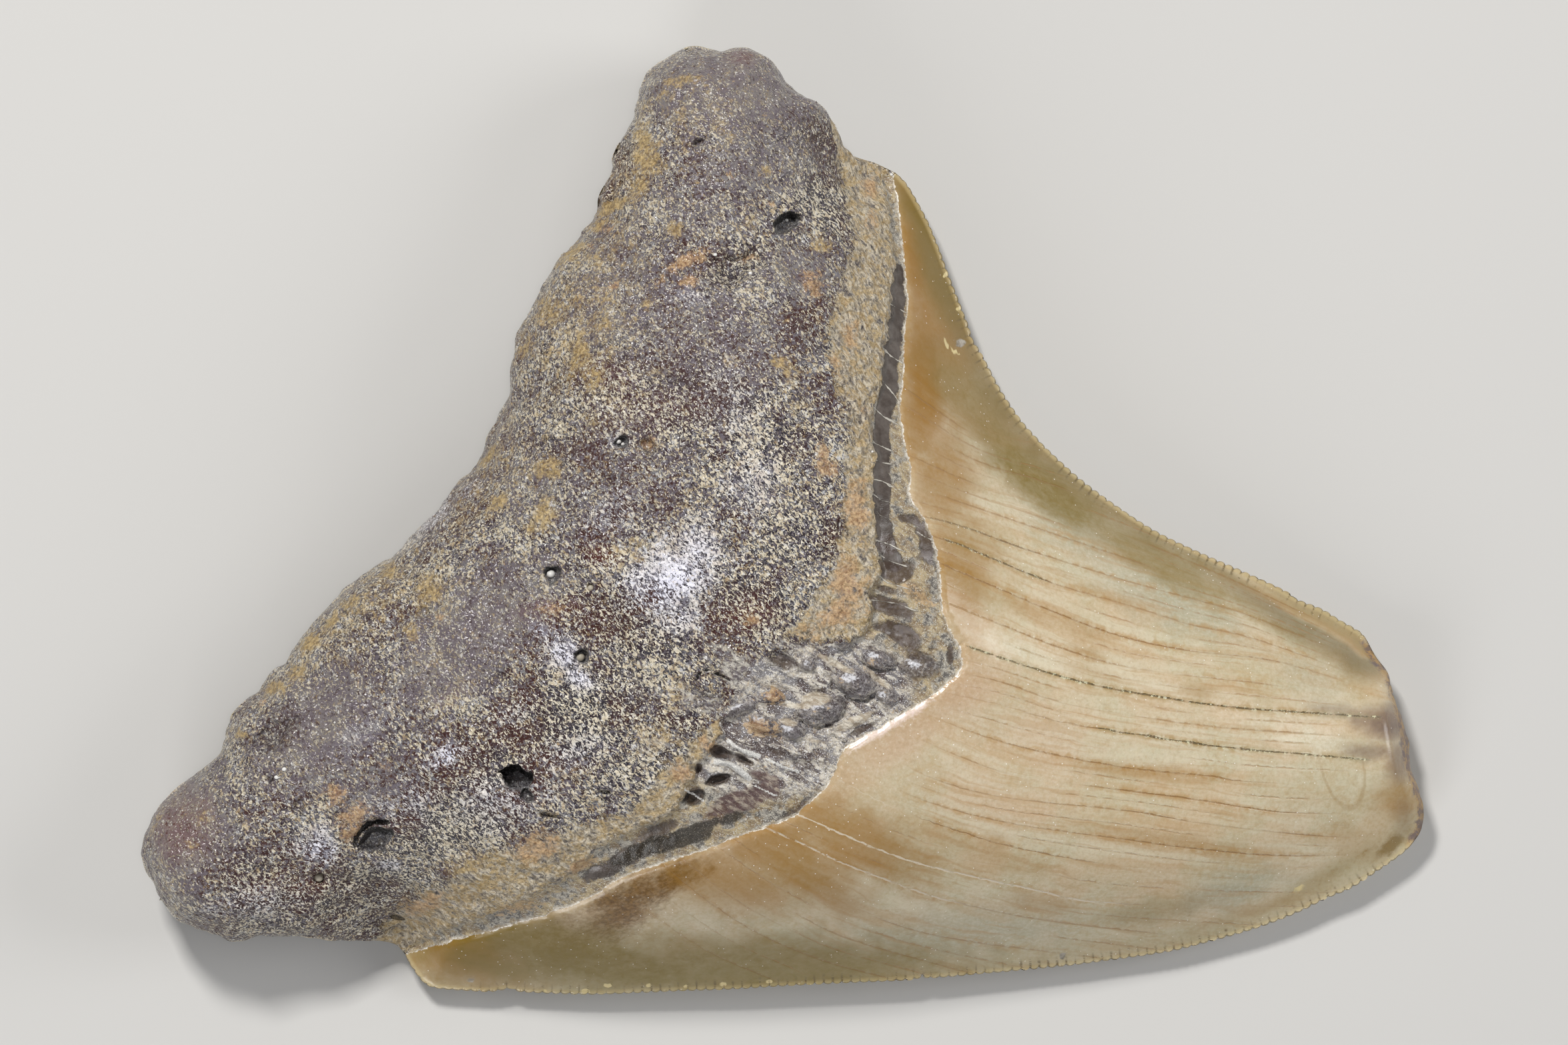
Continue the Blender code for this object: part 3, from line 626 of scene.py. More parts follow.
LUMPS = [
    (5.7, -12.7, 1.75, 1.15, -12, 0.95), (3.1, -14.9, 2, 1.15, 12, 0.9), (7.6, -10.8, 1.6, 0.75, -14, 0.7),
    (8.1, -13.9, 1, 0.7, -20, 0.5), (0.6, -16.6, 1.2, 0.75, -20, 0.6), (-1.5, -16, 1.5, 0.8, -18, 0.45),
    (10.8, -11.5, 1.7, 1, -10, 0.4), (4.6, -9.6, 0.8, 0.5, -20, 0.45), (2, -11.3, 0.7, 0.5, 0, 0.4),
    (-0.9, -13.9, 1.1, 0.55, -10, 0.45), (-3.4, -14.8, 1.4, 0.5, 25, 0.45), (-5.9, -12.9, 1.6, 0.8, -25, 0.4),
    (2.6, -12.7, 1.2, 0.6, -15, 0.35), (5.6, -15.7, 1.6, 0.5, 25, 0.35), (1.5, -18.4, 1.8, 0.6, -15, 0.35),
    (10.6, -5.2, 1.2, 0.7, -30, 0.3), (-3.8, 21.6, 0.9, 0.6, 20, 0.6), (-2.6, 20.8, 0.6, 0.5, 0, 0.5),
    (-5.4, 20.3, 0.6, 0.5, 0, 0.45), (2.3, 19.2, 0.9, 0.8, 0, 0.3), (-18.9, 4.3, 0.9, 0.7, 0, 0.3),
    (-38.2, -9.3, 0.5, 1.2, -35, 0.35), (-7.6, 21.1, 1.5, 0.5, 30, 0.3), (-43.5, -17, 0.7, 0.5, 0, 0.3),
    (-35.8, -22.4, 1.2, 0.8, 30, 0.25),
]
# Thin ridges and cracks: places along them, half width, and height or, below zero, depth
RIDGES = [
    ([(-4.4, -17.4), (-3.6, -18), (-2.9, -18.3), (-2, -18.6)], 0.22, 0.5),
    ([(-5.4, -19.1), (-4.5, -19.2), (-3.9, -19.5), (-3.4, -19.9), (-2.8, -20.4)], 0.3, 0.55),
    ([(-1.4, -18.8), (-0.2, -19.4), (1.2, -19.9)], 0.12, 0.2),
    ([(-2.4, -20.9), (-1.5, -21.4), (-0.6, -21.8)], 0.1, 0.2),
    ([(-7.9, -21.3), (-7.2, -21.7), (-6.4, -22.2)], 0.12, 0.25),
    ([(-6.9, -12.3), (-6.3, -11.8), (-5.2, -12.1), (-4.3, -12.5)], 0.2, -0.7),
    ([(-1.2, -11.3), (-0.6, -11.4)], 0.15, -0.4),
    ([(-34.5, -26), (-34.3, -25.2), (-33.7, -24.5), (-33, -24.1), (-31.8, -24.1)], 0.28, -1),
    ([(-19.8, -23.2), (-18.9, -23.5), (-18, -23.4)], 0.16, -0.4),
    ([(1.2, -15.6), (2.6, -16.3), (4, -15.9), (5, -14.9)], 0.25, -0.45),
    ([(3.6, -12.9), (4.8, -13.9), (6.4, -14.2), (7.5, -13.3), (7.5, -12.3)], 0.22, -0.4),
    ([(6.3, -11.3), (7.6, -11.8), (8.9, -11.6)], 0.2, -0.35),
    ([(2, -13.6), (3.6, -13.9), (5, -14.6)], 0.18, -0.3),
    ([(-1, -12.6), (0.6, -13.5), (2, -13.6)], 0.16, -0.25), ([(3.8, -17), (5, -17.6)], 0.18, -0.3),
]


# Where the step down from the root to the band is soft, and how wide it is there
SOFT_LEDGE_PLACE = (0.0, -12.0, 6.5, 5.5, -60.0)
SOFT_LEDGE_WIDTH = 2.4
RELIEF_FROM_EDGE = (0.2, 1.6)
CRACK_STEP = 0.2
FAR_FROM_CRACK = 6.0


def wobbles(spots):
    """What an ellipse's share is multiplied by, to make its edge uneven."""
    return 1.0 + 0.3 * layered(spots, 1.2, 51)


def uneven_share(spots, wobble, x, y, half_length, half_width, turn):
    """The spots that are near an ellipse, and their share of it, made uneven."""
    near = np.hypot(spots[:, 0] - x, spots[:, 1] - y) < 2.0 * max(half_length, half_width)
    return near, ellipse_share(spots[near], x, y, half_length, half_width, turn) * wobble[near]


def relief(spots, from_enamel, from_root, from_edge):
    """Height of the hollows, lumps, ridges and ledges above the plain inner face."""
    wobble = wobbles(spots)
    soft_ledge = SOFT_LEDGE_WIDTH * (1.0 - ease(0.5, 1.1, ellipse_share(spots, *SOFT_LEDGE_PLACE)))
    in_band = ease(-0.1, 0.25, from_enamel) * np.clip((0.1 - from_root) / (0.4 + soft_ledge), 0.0, 1.0)
    beside_root = np.abs(from_enamel) / (np.abs(from_enamel) + np.abs(from_root) + 1e-6)
    rise = -in_band * (ENAMEL_STEP + (ROOT_LEDGE - ENAMEL_STEP) * beside_root)
    rise -= ENAMEL_LIP_DROP * (1.0 - ease(0.0, ENAMEL_LIP_WIDTH, -from_enamel)) ** 2 * (from_enamel <= 0)
    for *place, depth, flat in HOLLOWS:
        near, share = uneven_share(spots, wobble, *place)
        rise[near] -= depth * (1.0 - ease(flat, 1.0, share))
    for *place, height in LUMPS:
        near, share = uneven_share(spots, wobble, *place)
        rise[near] += height * np.sqrt(np.clip(1.0 - share**2, 0.0, 1.0))
    for points, half_width, height in RIDGES:
        line = curve_through(points, CRACK_STEP)
        near = np.hypot(*(spots - line.mean(axis=0)).T) < FAR_FROM_CRACK
        away, along = nearest(line, spots[near])
        length = np.linalg.norm(np.diff(line, axis=0), axis=1).sum()
        taper = np.clip(np.minimum(along + 0.3, length - along + 0.3) / (0.4 * length), 0.0, 1.0)
        rise[near] += height * taper * (1.0 - ease(0.15, 1.0, away / half_width * wobble[near]))
    return rise * ease(*RELIEF_FROM_EDGE, from_edge)


# The dressed mesh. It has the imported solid's form, with facets small enough for the serrations and for
# the relief. Its two faces are triangulated apart and welded along the outline. How long a facet's edge
# may be, in millimetres, is kept on the same grid as the form.
CROWN_FACET = 0.95
ROOT_FACET = 0.56
BAND_FACET = 0.34
PEAK_FACET = 0.26
HOLE_FACET = 0.22
WIDEST_HOLE = 4.0
OUTER_ROOT_FACET = 0.8
OUTER_CROWN_FACET = 1.3
BESIDE_ROOT = -0.6
PEAK_FINE_PLACE = (1.5, -15.5, 10.5, 6.0, 20.0)
PEAK_ROUGH_PLACE = (1.5, -15.0, 10.5, 6.5, 20.0)
grid_from_enamel = root_side(enamel_guide, grid_spots)
grid_from_root = root_side(root_guide, grid_spots)
grid_from_outer = root_side(outer_guide, grid_spots)
grid_cutting = np.minimum(nearest(lower_coarse, grid_spots)[0], nearest(upper_coarse, grid_spots)[0])
inner_longest = np.where(grid_from_enamel > BESIDE_ROOT, ROOT_FACET, CROWN_FACET)
inner_longest[(grid_from_enamel > BESIDE_ROOT) & (grid_from_root < 0.8)] = BAND_FACET
inner_longest[(ellipse_share(grid_spots, *PEAK_FINE_PLACE) < 1.0) & (grid_from_enamel > -1.0)] = PEAK_FACET
for x, y, half_length, half_width, turn, *_ in HOLLOWS:
    if half_length < WIDEST_HOLE:
        share = ellipse_share(grid_spots, x, y, half_length + 0.5, half_width + 0.5, turn)
        inner_longest[share < 1.0] = HOLE_FACET
outer_longest = np.where(grid_from_outer > BESIDE_ROOT, OUTER_ROOT_FACET, OUTER_CROWN_FACET)


def longest_from(longest, at_edge, growth):
    """Reads the wanted length off the grid, and makes it short beside the cutting edges."""
    longest = np.minimum(longest, at_edge + growth * grid_cutting).reshape(grid_x.shape)

    def longest_at(spots):
        cell = np.clip(np.round((spots - grid_low) / GRID_STEP).astype(int), 0, grid_size - 1)
        return longest[cell[:, 1], cell[:, 0]]

    return longest_at


# The root's denser grid of first points reaches this far past the enamel line
DENSER_BESIDE_ROOT = -1.0


def on_root(spots):
    return root_side(enamel_guide, spots) > DENSER_BESIDE_ROOT


def on_crown(spots):
    return ~on_root(spots)


def anywhere(spots):
    return np.ones(len(spots), bool)


# Held lines and their steps, grids and where they lie, the form, longest edges, and rings beside the outline
inner = sheet(
    [(enamel_guide, 1.0), (root_guide, 1.0)], [(1.4, on_root), (2.4, on_crown)],
    inner_form, longest_from(inner_longest, 0.18, 0.35), (0.35, 0.95, 1.9),
)
outer = sheet(
    [(outer_guide, 1.3)], [(2.8, anywhere)], outer_form, longest_from(outer_longest, 0.25, 0.45), (0.45, 1.3),
)

# The two faces are welded along the outline
in_places, in_heights, in_faces, in_owner, in_travel = inner
out_places, out_heights, out_faces, out_owner, out_travel = outer
rim_index = {round(t, 6): i for i, t in enumerate(in_travel) if in_owner[i] == RIM}
kept = np.flatnonzero(out_owner != RIM)
new_number = np.zeros(len(out_places), int)
new_number[kept] = len(in_places) + np.arange(len(kept))
for i in np.flatnonzero(out_owner == RIM):
    new_number[i] = rim_index[round(out_travel[i], 6)]
on_outer = np.arange(len(in_places) + len(kept)) >= len(in_places)
spots = np.concatenate([in_places, out_places[kept]])
heights = np.concatenate([in_heights, out_heights[kept]])
faces = np.concatenate([in_faces, new_number[out_faces][:, ::-1]])
owner = np.concatenate([in_owner, out_owner[kept]])
on_rim = (owner == RIM) & ~on_outer

from_lower = nearest(lower_coarse, spots)[0]
from_upper = nearest(upper_coarse, spots)[0]
from_break = nearest(break_coarse, spots)[0]
cutting_distance = np.minimum(from_lower, from_upper)
edge_distance = np.minimum(np.minimum(cutting_distance, nearest(root_coarse, spots)[0]), from_break)
edge_distance[on_rim] = 0.0
from_enamel = root_side(enamel_guide, spots)
from_root = root_side(root_guide, spots)
from_outer = root_side(outer_guide, spots)
from_enamel[~on_outer & (owner == FIRST_LINE)] = 0.0
from_root[~on_outer & (owner == SECOND_LINE)] = 0.0
from_outer[on_outer & (owner == FIRST_LINE)] = 0.0
heights[~on_outer] += relief(spots, from_enamel, from_root, edge_distance)[~on_outer]
heights[~on_outer] = np.maximum(heights, rim_heights(spots))[~on_outer]
# Between two serrations a short groove runs in from the edge on both faces
rim_travel = nearest(rim.line[::8], spots)[1]
bead_phase = np.zeros(len(spots))
for k in (1, 3):
    mine = (rim_travel > corners[k]) & (rim_travel < corners[k + 1])
    bead_phase[mine] = serration_phase(rim_travel[mine], corners[k], corners[k + 1])
between_beads = (1.0 - np.abs(np.sin(math.pi * bead_phase)) ** 0.5) * serration_wear(rim_travel)
groove_depth = SERRATION_GROOVE * between_beads * (1.0 - ease(0.1, 0.9, cutting_distance))
heights -= np.where(on_outer, -1.0, 1.0) * groove_depth * ~on_rim
body = np.column_stack([spots, heights])


def vertex_normals(points, faces):
    """Unit normals at the mesh's points."""
    a, b, c = (points[faces[:, k]] for k in range(3))
    across = np.cross(b - a, c - a)
    total = np.zeros(points.shape)
    for k in range(3):
        np.add.at(total, faces[:, k], across)
    return total / np.maximum(np.linalg.norm(total, axis=1), 1e-12)[:, None]


# Fine relief stands out along the surface's own direction, on the root and a little on the band
share_of_root = np.where(on_outer, ease(0.0, 0.8, from_outer), ease(-0.2, 0.5, from_root))
share_of_root = np.where(on_rim, ease(1.0, 5.0, cutting_distance), share_of_root)
share_of_band = np.where(on_outer, 0.0, ease(0.0, 0.4, from_enamel) * ease(0.0, 0.4, -from_root))
rough = 0.22 * waves(body, 5.0, 61) + 0.2 * waves(body, 2.3, 62) + 0.14 * waves(body, 1.1, 63)
rough *= share_of_root * (0.3 + 0.7 * ease(0.0, 3.0, cutting_distance))
below_peak = 1.0 - ease(0.7, 1.2, ellipse_share(spots, *PEAK_ROUGH_PLACE))
below_peak *= (from_enamel > 0.3) & ~on_outer
rough += (share_of_band * 0.6 + below_peak) * (0.07 * waves(body, 1.2, 65) + 0.06 * waves(body, 0.6, 66))
body = body + vertex_normals(body, faces) * rough[:, None]
body[:, 2] = np.maximum(body[:, 2], 0.0)

mesh = bpy.data.meshes.new("fossil_tooth")
mesh.vertices.add(len(body))
mesh.vertices.foreach_set("co", (body * MM).ravel())
mesh.loops.add(faces.size)
mesh.loops.foreach_set("vertex_index", faces.ravel().astype(np.int32))
mesh.polygons.add(len(faces))
mesh.polygons.foreach_set("loop_start", np.arange(0, faces.size, 3, dtype=np.int32))
mesh.update(calc_edges=True)
mesh.shade_smooth()
tooth = bpy.data.objects.new("fossil_tooth", mesh)
bpy.context.scene.collection.objects.link(tooth)
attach(tooth, "root")
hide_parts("tooth")


# The root's finish: dark glossy maroon bone with a grey film and pale worn crumbs on it, a mauve veil on
# the lobes, ochre clay in patches, and a tan fibrous strip beside the crown. Painted bluish-white
# highlights and glint dots stand for the light catching it, and painted shadow darkens the upper side of
# its holes, and its cracks.
class Signal:
    """A socket of a material's nodes, so that masks can be written as plain sums."""

    def __init__(self, tree, socket=None):
        self.tree = tree
        self.socket = socket

    def node(self, kind, settings=None, values=None, output=0):
        """Adds a node. Its settings come first, then the values or links of its sockets."""
        made = self.tree.nodes.new(kind)
        for name, value in (settings or {}).items():
            setattr(made, name, value)
        for name, value in (values or {}).items():
            if isinstance(value, Signal):
                self.tree.links.new(value.socket, made.inputs[name])
            elif isinstance(value, tuple) and len(value) == 3 and made.inputs[name].type == "RGBA":
                made.inputs[name].default_value = (*value, 1.0)
            else:
                made.inputs[name].default_value = value
        return Signal(self.tree, made.outputs[output])

    def also(self, output):
        """Another output of the same node."""
        return Signal(self.tree, self.socket.node.outputs[output])

    def maths(self, operation, *values):
        return self.node("ShaderNodeMath", {"operation": operation}, dict(enumerate((self, *values))))

    def __add__(self, other):
        return self.maths("ADD", other)

    __radd__ = __add__

    def __sub__(self, other):
        return self.maths("SUBTRACT", other)

    def __rsub__(self, other):
        return self.node("ShaderNodeMath", {"operation": "SUBTRACT"}, {0: other, 1: self})

    def __mul__(self, other):
        return self.maths("MULTIPLY", other)

    __rmul__ = __mul__

    def __abs__(self):
        return self.maths("ABSOLUTE")

    def step(self, low, high):
        """A smooth step from 0 at low to 1 at high, or from 1 to 0 where high is the smaller."""
        settings = {"interpolation_type": "SMOOTHSTEP"}
        if high < low:
            ends = {"Value": self, "From Min": high, "From Max": low, "To Min": 1.0, "To Max": 0.0}
        else:
            ends = {"Value": self, "From Min": low, "From Max": high}
        return self.node("ShaderNodeMapRange", settings, ends)

    def frayed(self, noise, amount):
        """This mask with its edge frayed by a noise."""
        return self + amount * (noise - 0.5)

    def mix(self, a, b):
        """Colour a where this mask is 0 and b where it is 1."""
        return self.node("ShaderNodeMix", {"data_type": "RGBA"}, {0: self, 6: a, 7: b}, 2)

    def between(self, a, b, low=0.4, high=0.6):
        """Colour a where this noise is low and b where it is high."""
        return self.step(low, high).mix(a, b)

    def noise(self, size, detail=2.0, rough=0.5, distortion=0.0):
        """Cloudy noise of a given size over this place."""
        values = {"Vector": self, "Scale": 1.0 / size, "Detail": detail, "Roughness": rough}
        return self.node("ShaderNodeTexNoise", None, {**values, "Distortion": distortion})

    def cells(self, size):
        """Distance from the nearest of many scattered points, in shares of their spacing."""
        return self.node("ShaderNodeTexVoronoi", None, {"Vector": self, "Scale": 1.0 / size}, "Distance")

    def vector(self, operation, values):
        return self.node("ShaderNodeVectorMath", {"operation": operation}, {0: self, **values})

    def shifted(self, by):
        return self.vector("ADD", {1: by})

    def warped(self, size, reach):
        """This place pushed about by noise."""
        push = self.noise(size, 1.0).also("Color").vector("SUBTRACT", {1: (0.5, 0.5, 0.5)})
        return self.shifted(push.vector("SCALE", {"Scale": reach}))

    def stretched(self, turn, length):
        """This place for a pattern that is drawn out by a length, along a line turned by degrees."""
        values = {"Vector": self, "Rotation": (0.0, 0.0, math.radians(turn)), "Scale": (length, 1.0, 1.0)}
        return self.node("ShaderNodeMapping", {"vector_type": "TEXTURE"}, values)


def new_finish(name):
    """A material: the start of its expressions, its shader, and the place on the tooth in millimetres."""
    material = bpy.data.materials.new(name)
    material.use_nodes = True
    mesh.materials.append(material)
    start = Signal(material.node_tree)
    place = start.node("ShaderNodeTexCoord", output="Object").vector("SCALE", {"Scale": 1.0 / MM})
    return start, material.node_tree.nodes["Principled BSDF"], place


def painted(start, names):
    """Masks painted on the mesh's points."""
    return [
        start.node("ShaderNodeAttribute", {"attribute_name": name}, output="Fac") for name in names.split()
    ]


def paint(name, values):
    """Keeps a mask on the mesh's points."""
    layer = mesh.attributes.new(name, "FLOAT", "POINT")
    layer.data.foreach_set("value", values.astype(np.float32))


def patches(ellipses, ragged, seed, core, reach):
    """A mask of ragged patches. Each is x, y, half length, half width, turn, strength."""
    uneven = 1.0 + ragged * layered(spots, 1.8, seed)
    mask = np.zeros(len(spots))
    for *place, strength in ellipses:
        mask = np.maximum(mask, strength * (1.0 - ease(core, reach, ellipse_share(spots, *place) * uneven)))
    return mask * ~on_outer


def dress(shader, colour, roughness, height, distance, strength=1.0):
    """Links a colour, a roughness and a fine relief to the shader."""
    tree = colour.tree
    tree.links.new(colour.socket, shader.inputs["Base Color"])
    tree.links.new(roughness.socket, shader.inputs["Roughness"])
    bump = colour.node("ShaderNodeBump", None, {"Strength": strength, "Distance": distance, "Height": height})
    tree.links.new(bump.socket, shader.inputs["Normal"])


OCHRE = [
    (-8.3, 35.6, 1.1, 0.4, 0, 0.9), (-11.3, 30.8, 0.8, 1.4, 0, 1), (-11, 29, 1.3, 1.2, 0, 0.9),
    (-11.7, 27.2, 0.9, 0.9, 0, 0.9), (-13.8, 25.5, 1.8, 0.5, 28, 1), (-14.9, 24, 1.1, 0.6, 40, 0.8),
    (-17, 21.8, 1.9, 0.8, 35, 0.8), (-15, 21.2, 2.4, 1.4, 0, 0.5), (-18.7, 16.8, 1.4, 1, 40, 0.8),
    (-17.2, 18.2, 1.4, 1.2, 0, 0.5), (-16.4, 13.6, 1.9, 1.1, 70, 0.9), (-15.2, 11.8, 0.9, 1.3, 0, 0.8),
    (-14.4, 15.7, 0.8, 0.7, 0, 0.8), (-19.4, 18, 0.8, 0.7, 30, 0.7), (-9, 23.5, 0.7, 0.5, 0, 0.8),
    (-11.2, 33.4, 1.2, 0.4, 55, 0.6), (-9.4, 34.5, 1, 0.6, 0, 0.4), (-10.9, 17.5, 0.8, 0.5, 0, 0.6),
    (-2.6, 24.1, 0.8, 0.8, 0, 0.5), (3.2, 22.3, 0.9, 0.5, -30, 0.7), (0, 12.5, 1, 0.6, -40, 0.8),
    (-4.1, 12.9, 0.7, 0.6, 0, 0.5), (-10.2, 11.8, 0.7, 0.6, 0, 0.5), (-1.4, 28.3, 0.6, 0.5, 0, 0.6),
    (-4.5, 30.9, 0.6, 0.6, 0, 0.6), (-18.9, 4.3, 1.1, 0.9, 0, 1), (-19.3, 0.7, 1.1, 1, 0, 0.9),
    (-20.3, -0.5, 0.8, 0.6, 0, 0.7), (-23, 1.7, 1, 0.6, 30, 0.9), (-23.9, 5.3, 1.5, 0.5, 55, 1),
    (-15.2, 8, 1.2, 0.8, 0, 0.4), (-28.6, -5.5, 1.5, 1.5, 0, 0.8), (-29.9, -8.7, 0.6, 0.5, 0, 0.8),
    (-31.9, -4, 0.9, 0.7, 40, 0.9), (-12, -2, 1.8, 0.9, 0, 0.5), (-34.6, -6.3, 1, 0.5, 35, 1),
    (-36.5, -8, 1.3, 0.6, 40, 0.9), (-38.4, -9.6, 0.6, 1.2, -35, 1), (-39.3, -12.1, 1, 0.6, 30, 0.9),
    (-41.2, -13.4, 1.1, 0.6, 20, 0.9), (-43.8, -17.1, 0.7, 0.5, 0, 0.8), (-46.3, -18.8, 0.6, 0.4, 0, 0.7),
    (-47.5, -26, 0.5, 0.4, 0, 0.7), (-43.2, -24.4, 0.5, 0.4, 0, 0.8), (-24.5, -27.5, 2.8, 0.9, 12, 0.8),
    (-24.4, -28.8, 0.8, 1, 0, 0.8), (-8.5, -13.6, 1.1, 1.1, 0, 0.6), (-10.4, -17.2, 1.6, 1.2, 0, 0.6),
    (1, 9, 0.7, 0.5, 0, 0.4), (-22, 8, 1, 0.6, 70, 0.5), (-36, -11, 1, 0.6, 40, 0.4),
    (-16.5, 16, 4, 7, -20, 0.4), (-13, 26, 2.6, 6, -15, 0.4), (-24, 3.5, 2.6, 6, -45, 0.35),
    (-33.5, -6.5, 2.6, 7, -52, 0.4), (-8, 33, 4, 3, 30, 0.3), (-21, 14, 1.2, 0.6, 65, 0.7),
    (-46.5, -23.6, 0.7, 0.5, 40, 0.5), (-50.6, -23.9, 1, 0.4, 70, 0.5),
]
ORANGE = [
    (-7.9, 20.9, 1.6, 0.5, 32, 1), (-7.5, 19.4, 0.8, 0.5, 0, 0.8), (-13.7, 19, 0.6, 0.4, 0, 0.8),
    (2.3, 19.2, 1.1, 1, 0, 0.8), (-0.8, 25.6, 0.5, 0.3, 0, 0.9), (-4.4, 28, 0.4, 0.3, 0, 0.6),
    (-14.3, 23.6, 0.5, 0.5, 0, 0.7), (-15.4, 22.2, 0.4, 0.3, 0, 0.7), (-27.5, -7.7, 0.5, 0.4, 0, 0.8),
    (-18.5, -6.9, 0.8, 0.6, 0, 0.6), (-2.4, -7.8, 0.8, 0.5, 0, 0.8), (3.4, 4.3, 1.1, 0.8, 20, 0.8),
    (3.2, 5.6, 0.5, 0.4, 0, 0.9), (5.8, 1, 0.9, 2.6, 8, 0.8), (5, -4.8, 1.3, 1.7, 0, 1),
    (4.3, -7.2, 1.9, 1.3, 20, 0.8), (2.2, -8.6, 1.3, 0.8, 0, 0.5), (-1.9, -16.3, 1.5, 0.7, -15, 0.9),
    (-0.9, -13.9, 0.8, 0.5, 0, 0.9), (-36, -21.8, 1.2, 1.2, 0, 0.6), (-34.3, -23.5, 1.3, 0.9, 25, 0.8),
    (-34.4, -24.7, 1, 0.5, 30, 1), (-32, -19.4, 0.5, 0.7, 0, 0.6), (-19.7, -26, 1.9, 1.1, 20, 0.8),
    (-16.6, -27.6, 1, 0.5, 35, 1), (-29.3, -31, 1.9, 0.9, 12, 0.8), (-8.2, -20, 0.9, 0.9, 0, 0.9),
    (-5.9, -17.9, 0.8, 0.5, -20, 0.9), (-21.5, -31, 2.5, 0.6, 18, 0.5), (5.3, 14.8, 0.9, 2.2, 0, 0.6),
    (6.9, 27.4, 0.8, 1, 20, 0.9), (7, 24.6, 0.5, 1.4, 0, 0.6), (-10.8, 6.3, 0.9, 0.6, 0, 0.7),
    (-26, -11.5, 0.6, 0.4, 0, 0.4), (-42, -14.5, 0.5, 0.3, 0, 0.6), (6.3, 8.9, 0.5, 0.5, 0, 0.7),
    (4, 12.8, 0.6, 1.1, 20, 0.6), (-2.7, 21, 0.9, 0.6, 0, 0.6), (10.9, -5.8, 1.5, 0.6, -35, 0.6),
]
# Painted highlights: bluish-white sheen and sparkle where the light catches the root's crest
GLINT = [
    (-8.9, -4.6, 3.2, 2.2, 25, 1), (-6.9, -2.2, 2, 1.8, 60, 0.7), (-8.3, -7.4, 1.9, 1.4, 0, 0.6),
    (-17.6, -10.4, 1.6, 1, -50, 0.9), (-16.2, -12.4, 1.2, 0.8, -30, 0.9), (-27, -18.6, 1.6, 0.9, 30, 1),
    (-37.5, -26.2, 1.6, 1.1, 0, 0.9), (-31.9, -27.6, 1, 0.5, 0, 0.7), (-19.3, -8.6, 1.2, 0.6, -20, 0.8),
    (-28.2, 0.4, 2.6, 0.7, 45, 0.6), (-25.6, 2.4, 1.2, 0.5, 40, 0.5), (-7.6, 18.2, 1.6, 0.5, -10, 0.5),
    (-3.3, -14.8, 1.2, 0.5, 25, 0.9), (-45.5, -31, 1.4, 0.6, 0, 0.4), (-22, -15.5, 1.5, 0.8, 30, 0.3),
    (-13, 6.5, 0.9, 0.5, 0, 0.5), (-22.5, -22, 3.4, 1.8, 10, 0.5), (-30, -22.5, 2.6, 1.6, 20, 0.45),
    (-42, -30.5, 3, 1.2, 5, 0.4), (-17, -18.5, 2.6, 1.2, 20, 0.4), (-14, 0.5, 2.4, 1.4, 40, 0.35),
    (-4.5, 10, 2, 3, 20, 0.3), (-2.5, 3, 1.8, 2.4, 0, 0.35), (-34, -17, 2.4, 1, 40, 0.3),
]
DARK = [
    (3.4, 30.4, 1.6, 3.4, 25, 0.6), (2.6, 26.3, 3, 2, -20, 0.9), (4.3, 24.6, 1.2, 1.6, 0, 0.8),
    (-9, 10, 9, 4, 0, 0.8), (-2, 6.5, 4, 3, 0, 0.6), (-14, 12.6, 2.4, 1.4, -30, 0.8),
    (-14.6, -2.7, 1.8, 0.9, -10, 1), (-2.6, -6.6, 3.6, 2.6, -15, 0.9), (-12.5, -8.5, 6, 2.6, -25, 0.8),
    (-16.5, -15.3, 7, 3.6, 20, 1), (-23, -19.3, 6, 3, 30, 0.8), (-26.5, -24.4, 6, 2.6, 15, 1),
    (-36, -29.8, 8, 2.3, 8, 0.9), (-43.5, -28.2, 3.4, 2, 0, 0.7), (-45.2, -26.2, 1.6, 1, 0, 0.7),
    (-12.4, -19.5, 5, 1.8, 10, 0.6), (1, 16, 2.6, 2.4, 0, 0.4), (-17.5, 6, 3, 2, 0, 0.5),
    (0.5, -1, 3, 3, 0, 0.4), (-8, -15.8, 2, 1, -10, 0.9), (-24.5, 0.8, 2, 0.8, 30, 0.6),
    (3.9, -1.2, 1, 2.6, 12, 0.7), (-40.5, -17, 2.6, 1.6, 50, 0.9), (-4.6, 19.6, 2.4, 1, 0, 0.8),
    (-3.9, 20.6, 3, 1.8, 20, 1), (-13.8, 28.4, 1.6, 4.6, -14, 0.9), (-41, -32.7, 8, 0.7, 3, 0.5),
    (-34, -33.4, 4, 0.6, 0, 0.5),
]
VEIL = [
    (-4, 35, 8, 5, 0, 1), (-48, -24.6, 4.6, 5.4, 0, 1), (-25, -9, 9.5, 4.2, 42, 0.9),
    (-37, -16.5, 7, 4.6, 42, 0.9), (-3, 29, 7, 3.4, 0, 0.7), (-12.5, 18, 5, 7, 0, 0.6),
    (-7, 25, 6, 3, 0, 0.5), (-49, -29, 2.6, 2.4, 0, 0.7), (-20, 3, 4, 3, 40, 0.4),
    (-33, -21, 4, 2.4, 40, 0.5), (1, 20, 4, 2.6, 0, 0.6), (-7, 15, 9, 8, 0, 0.5), (-14, 5, 9, 6, 30, 0.3),
]
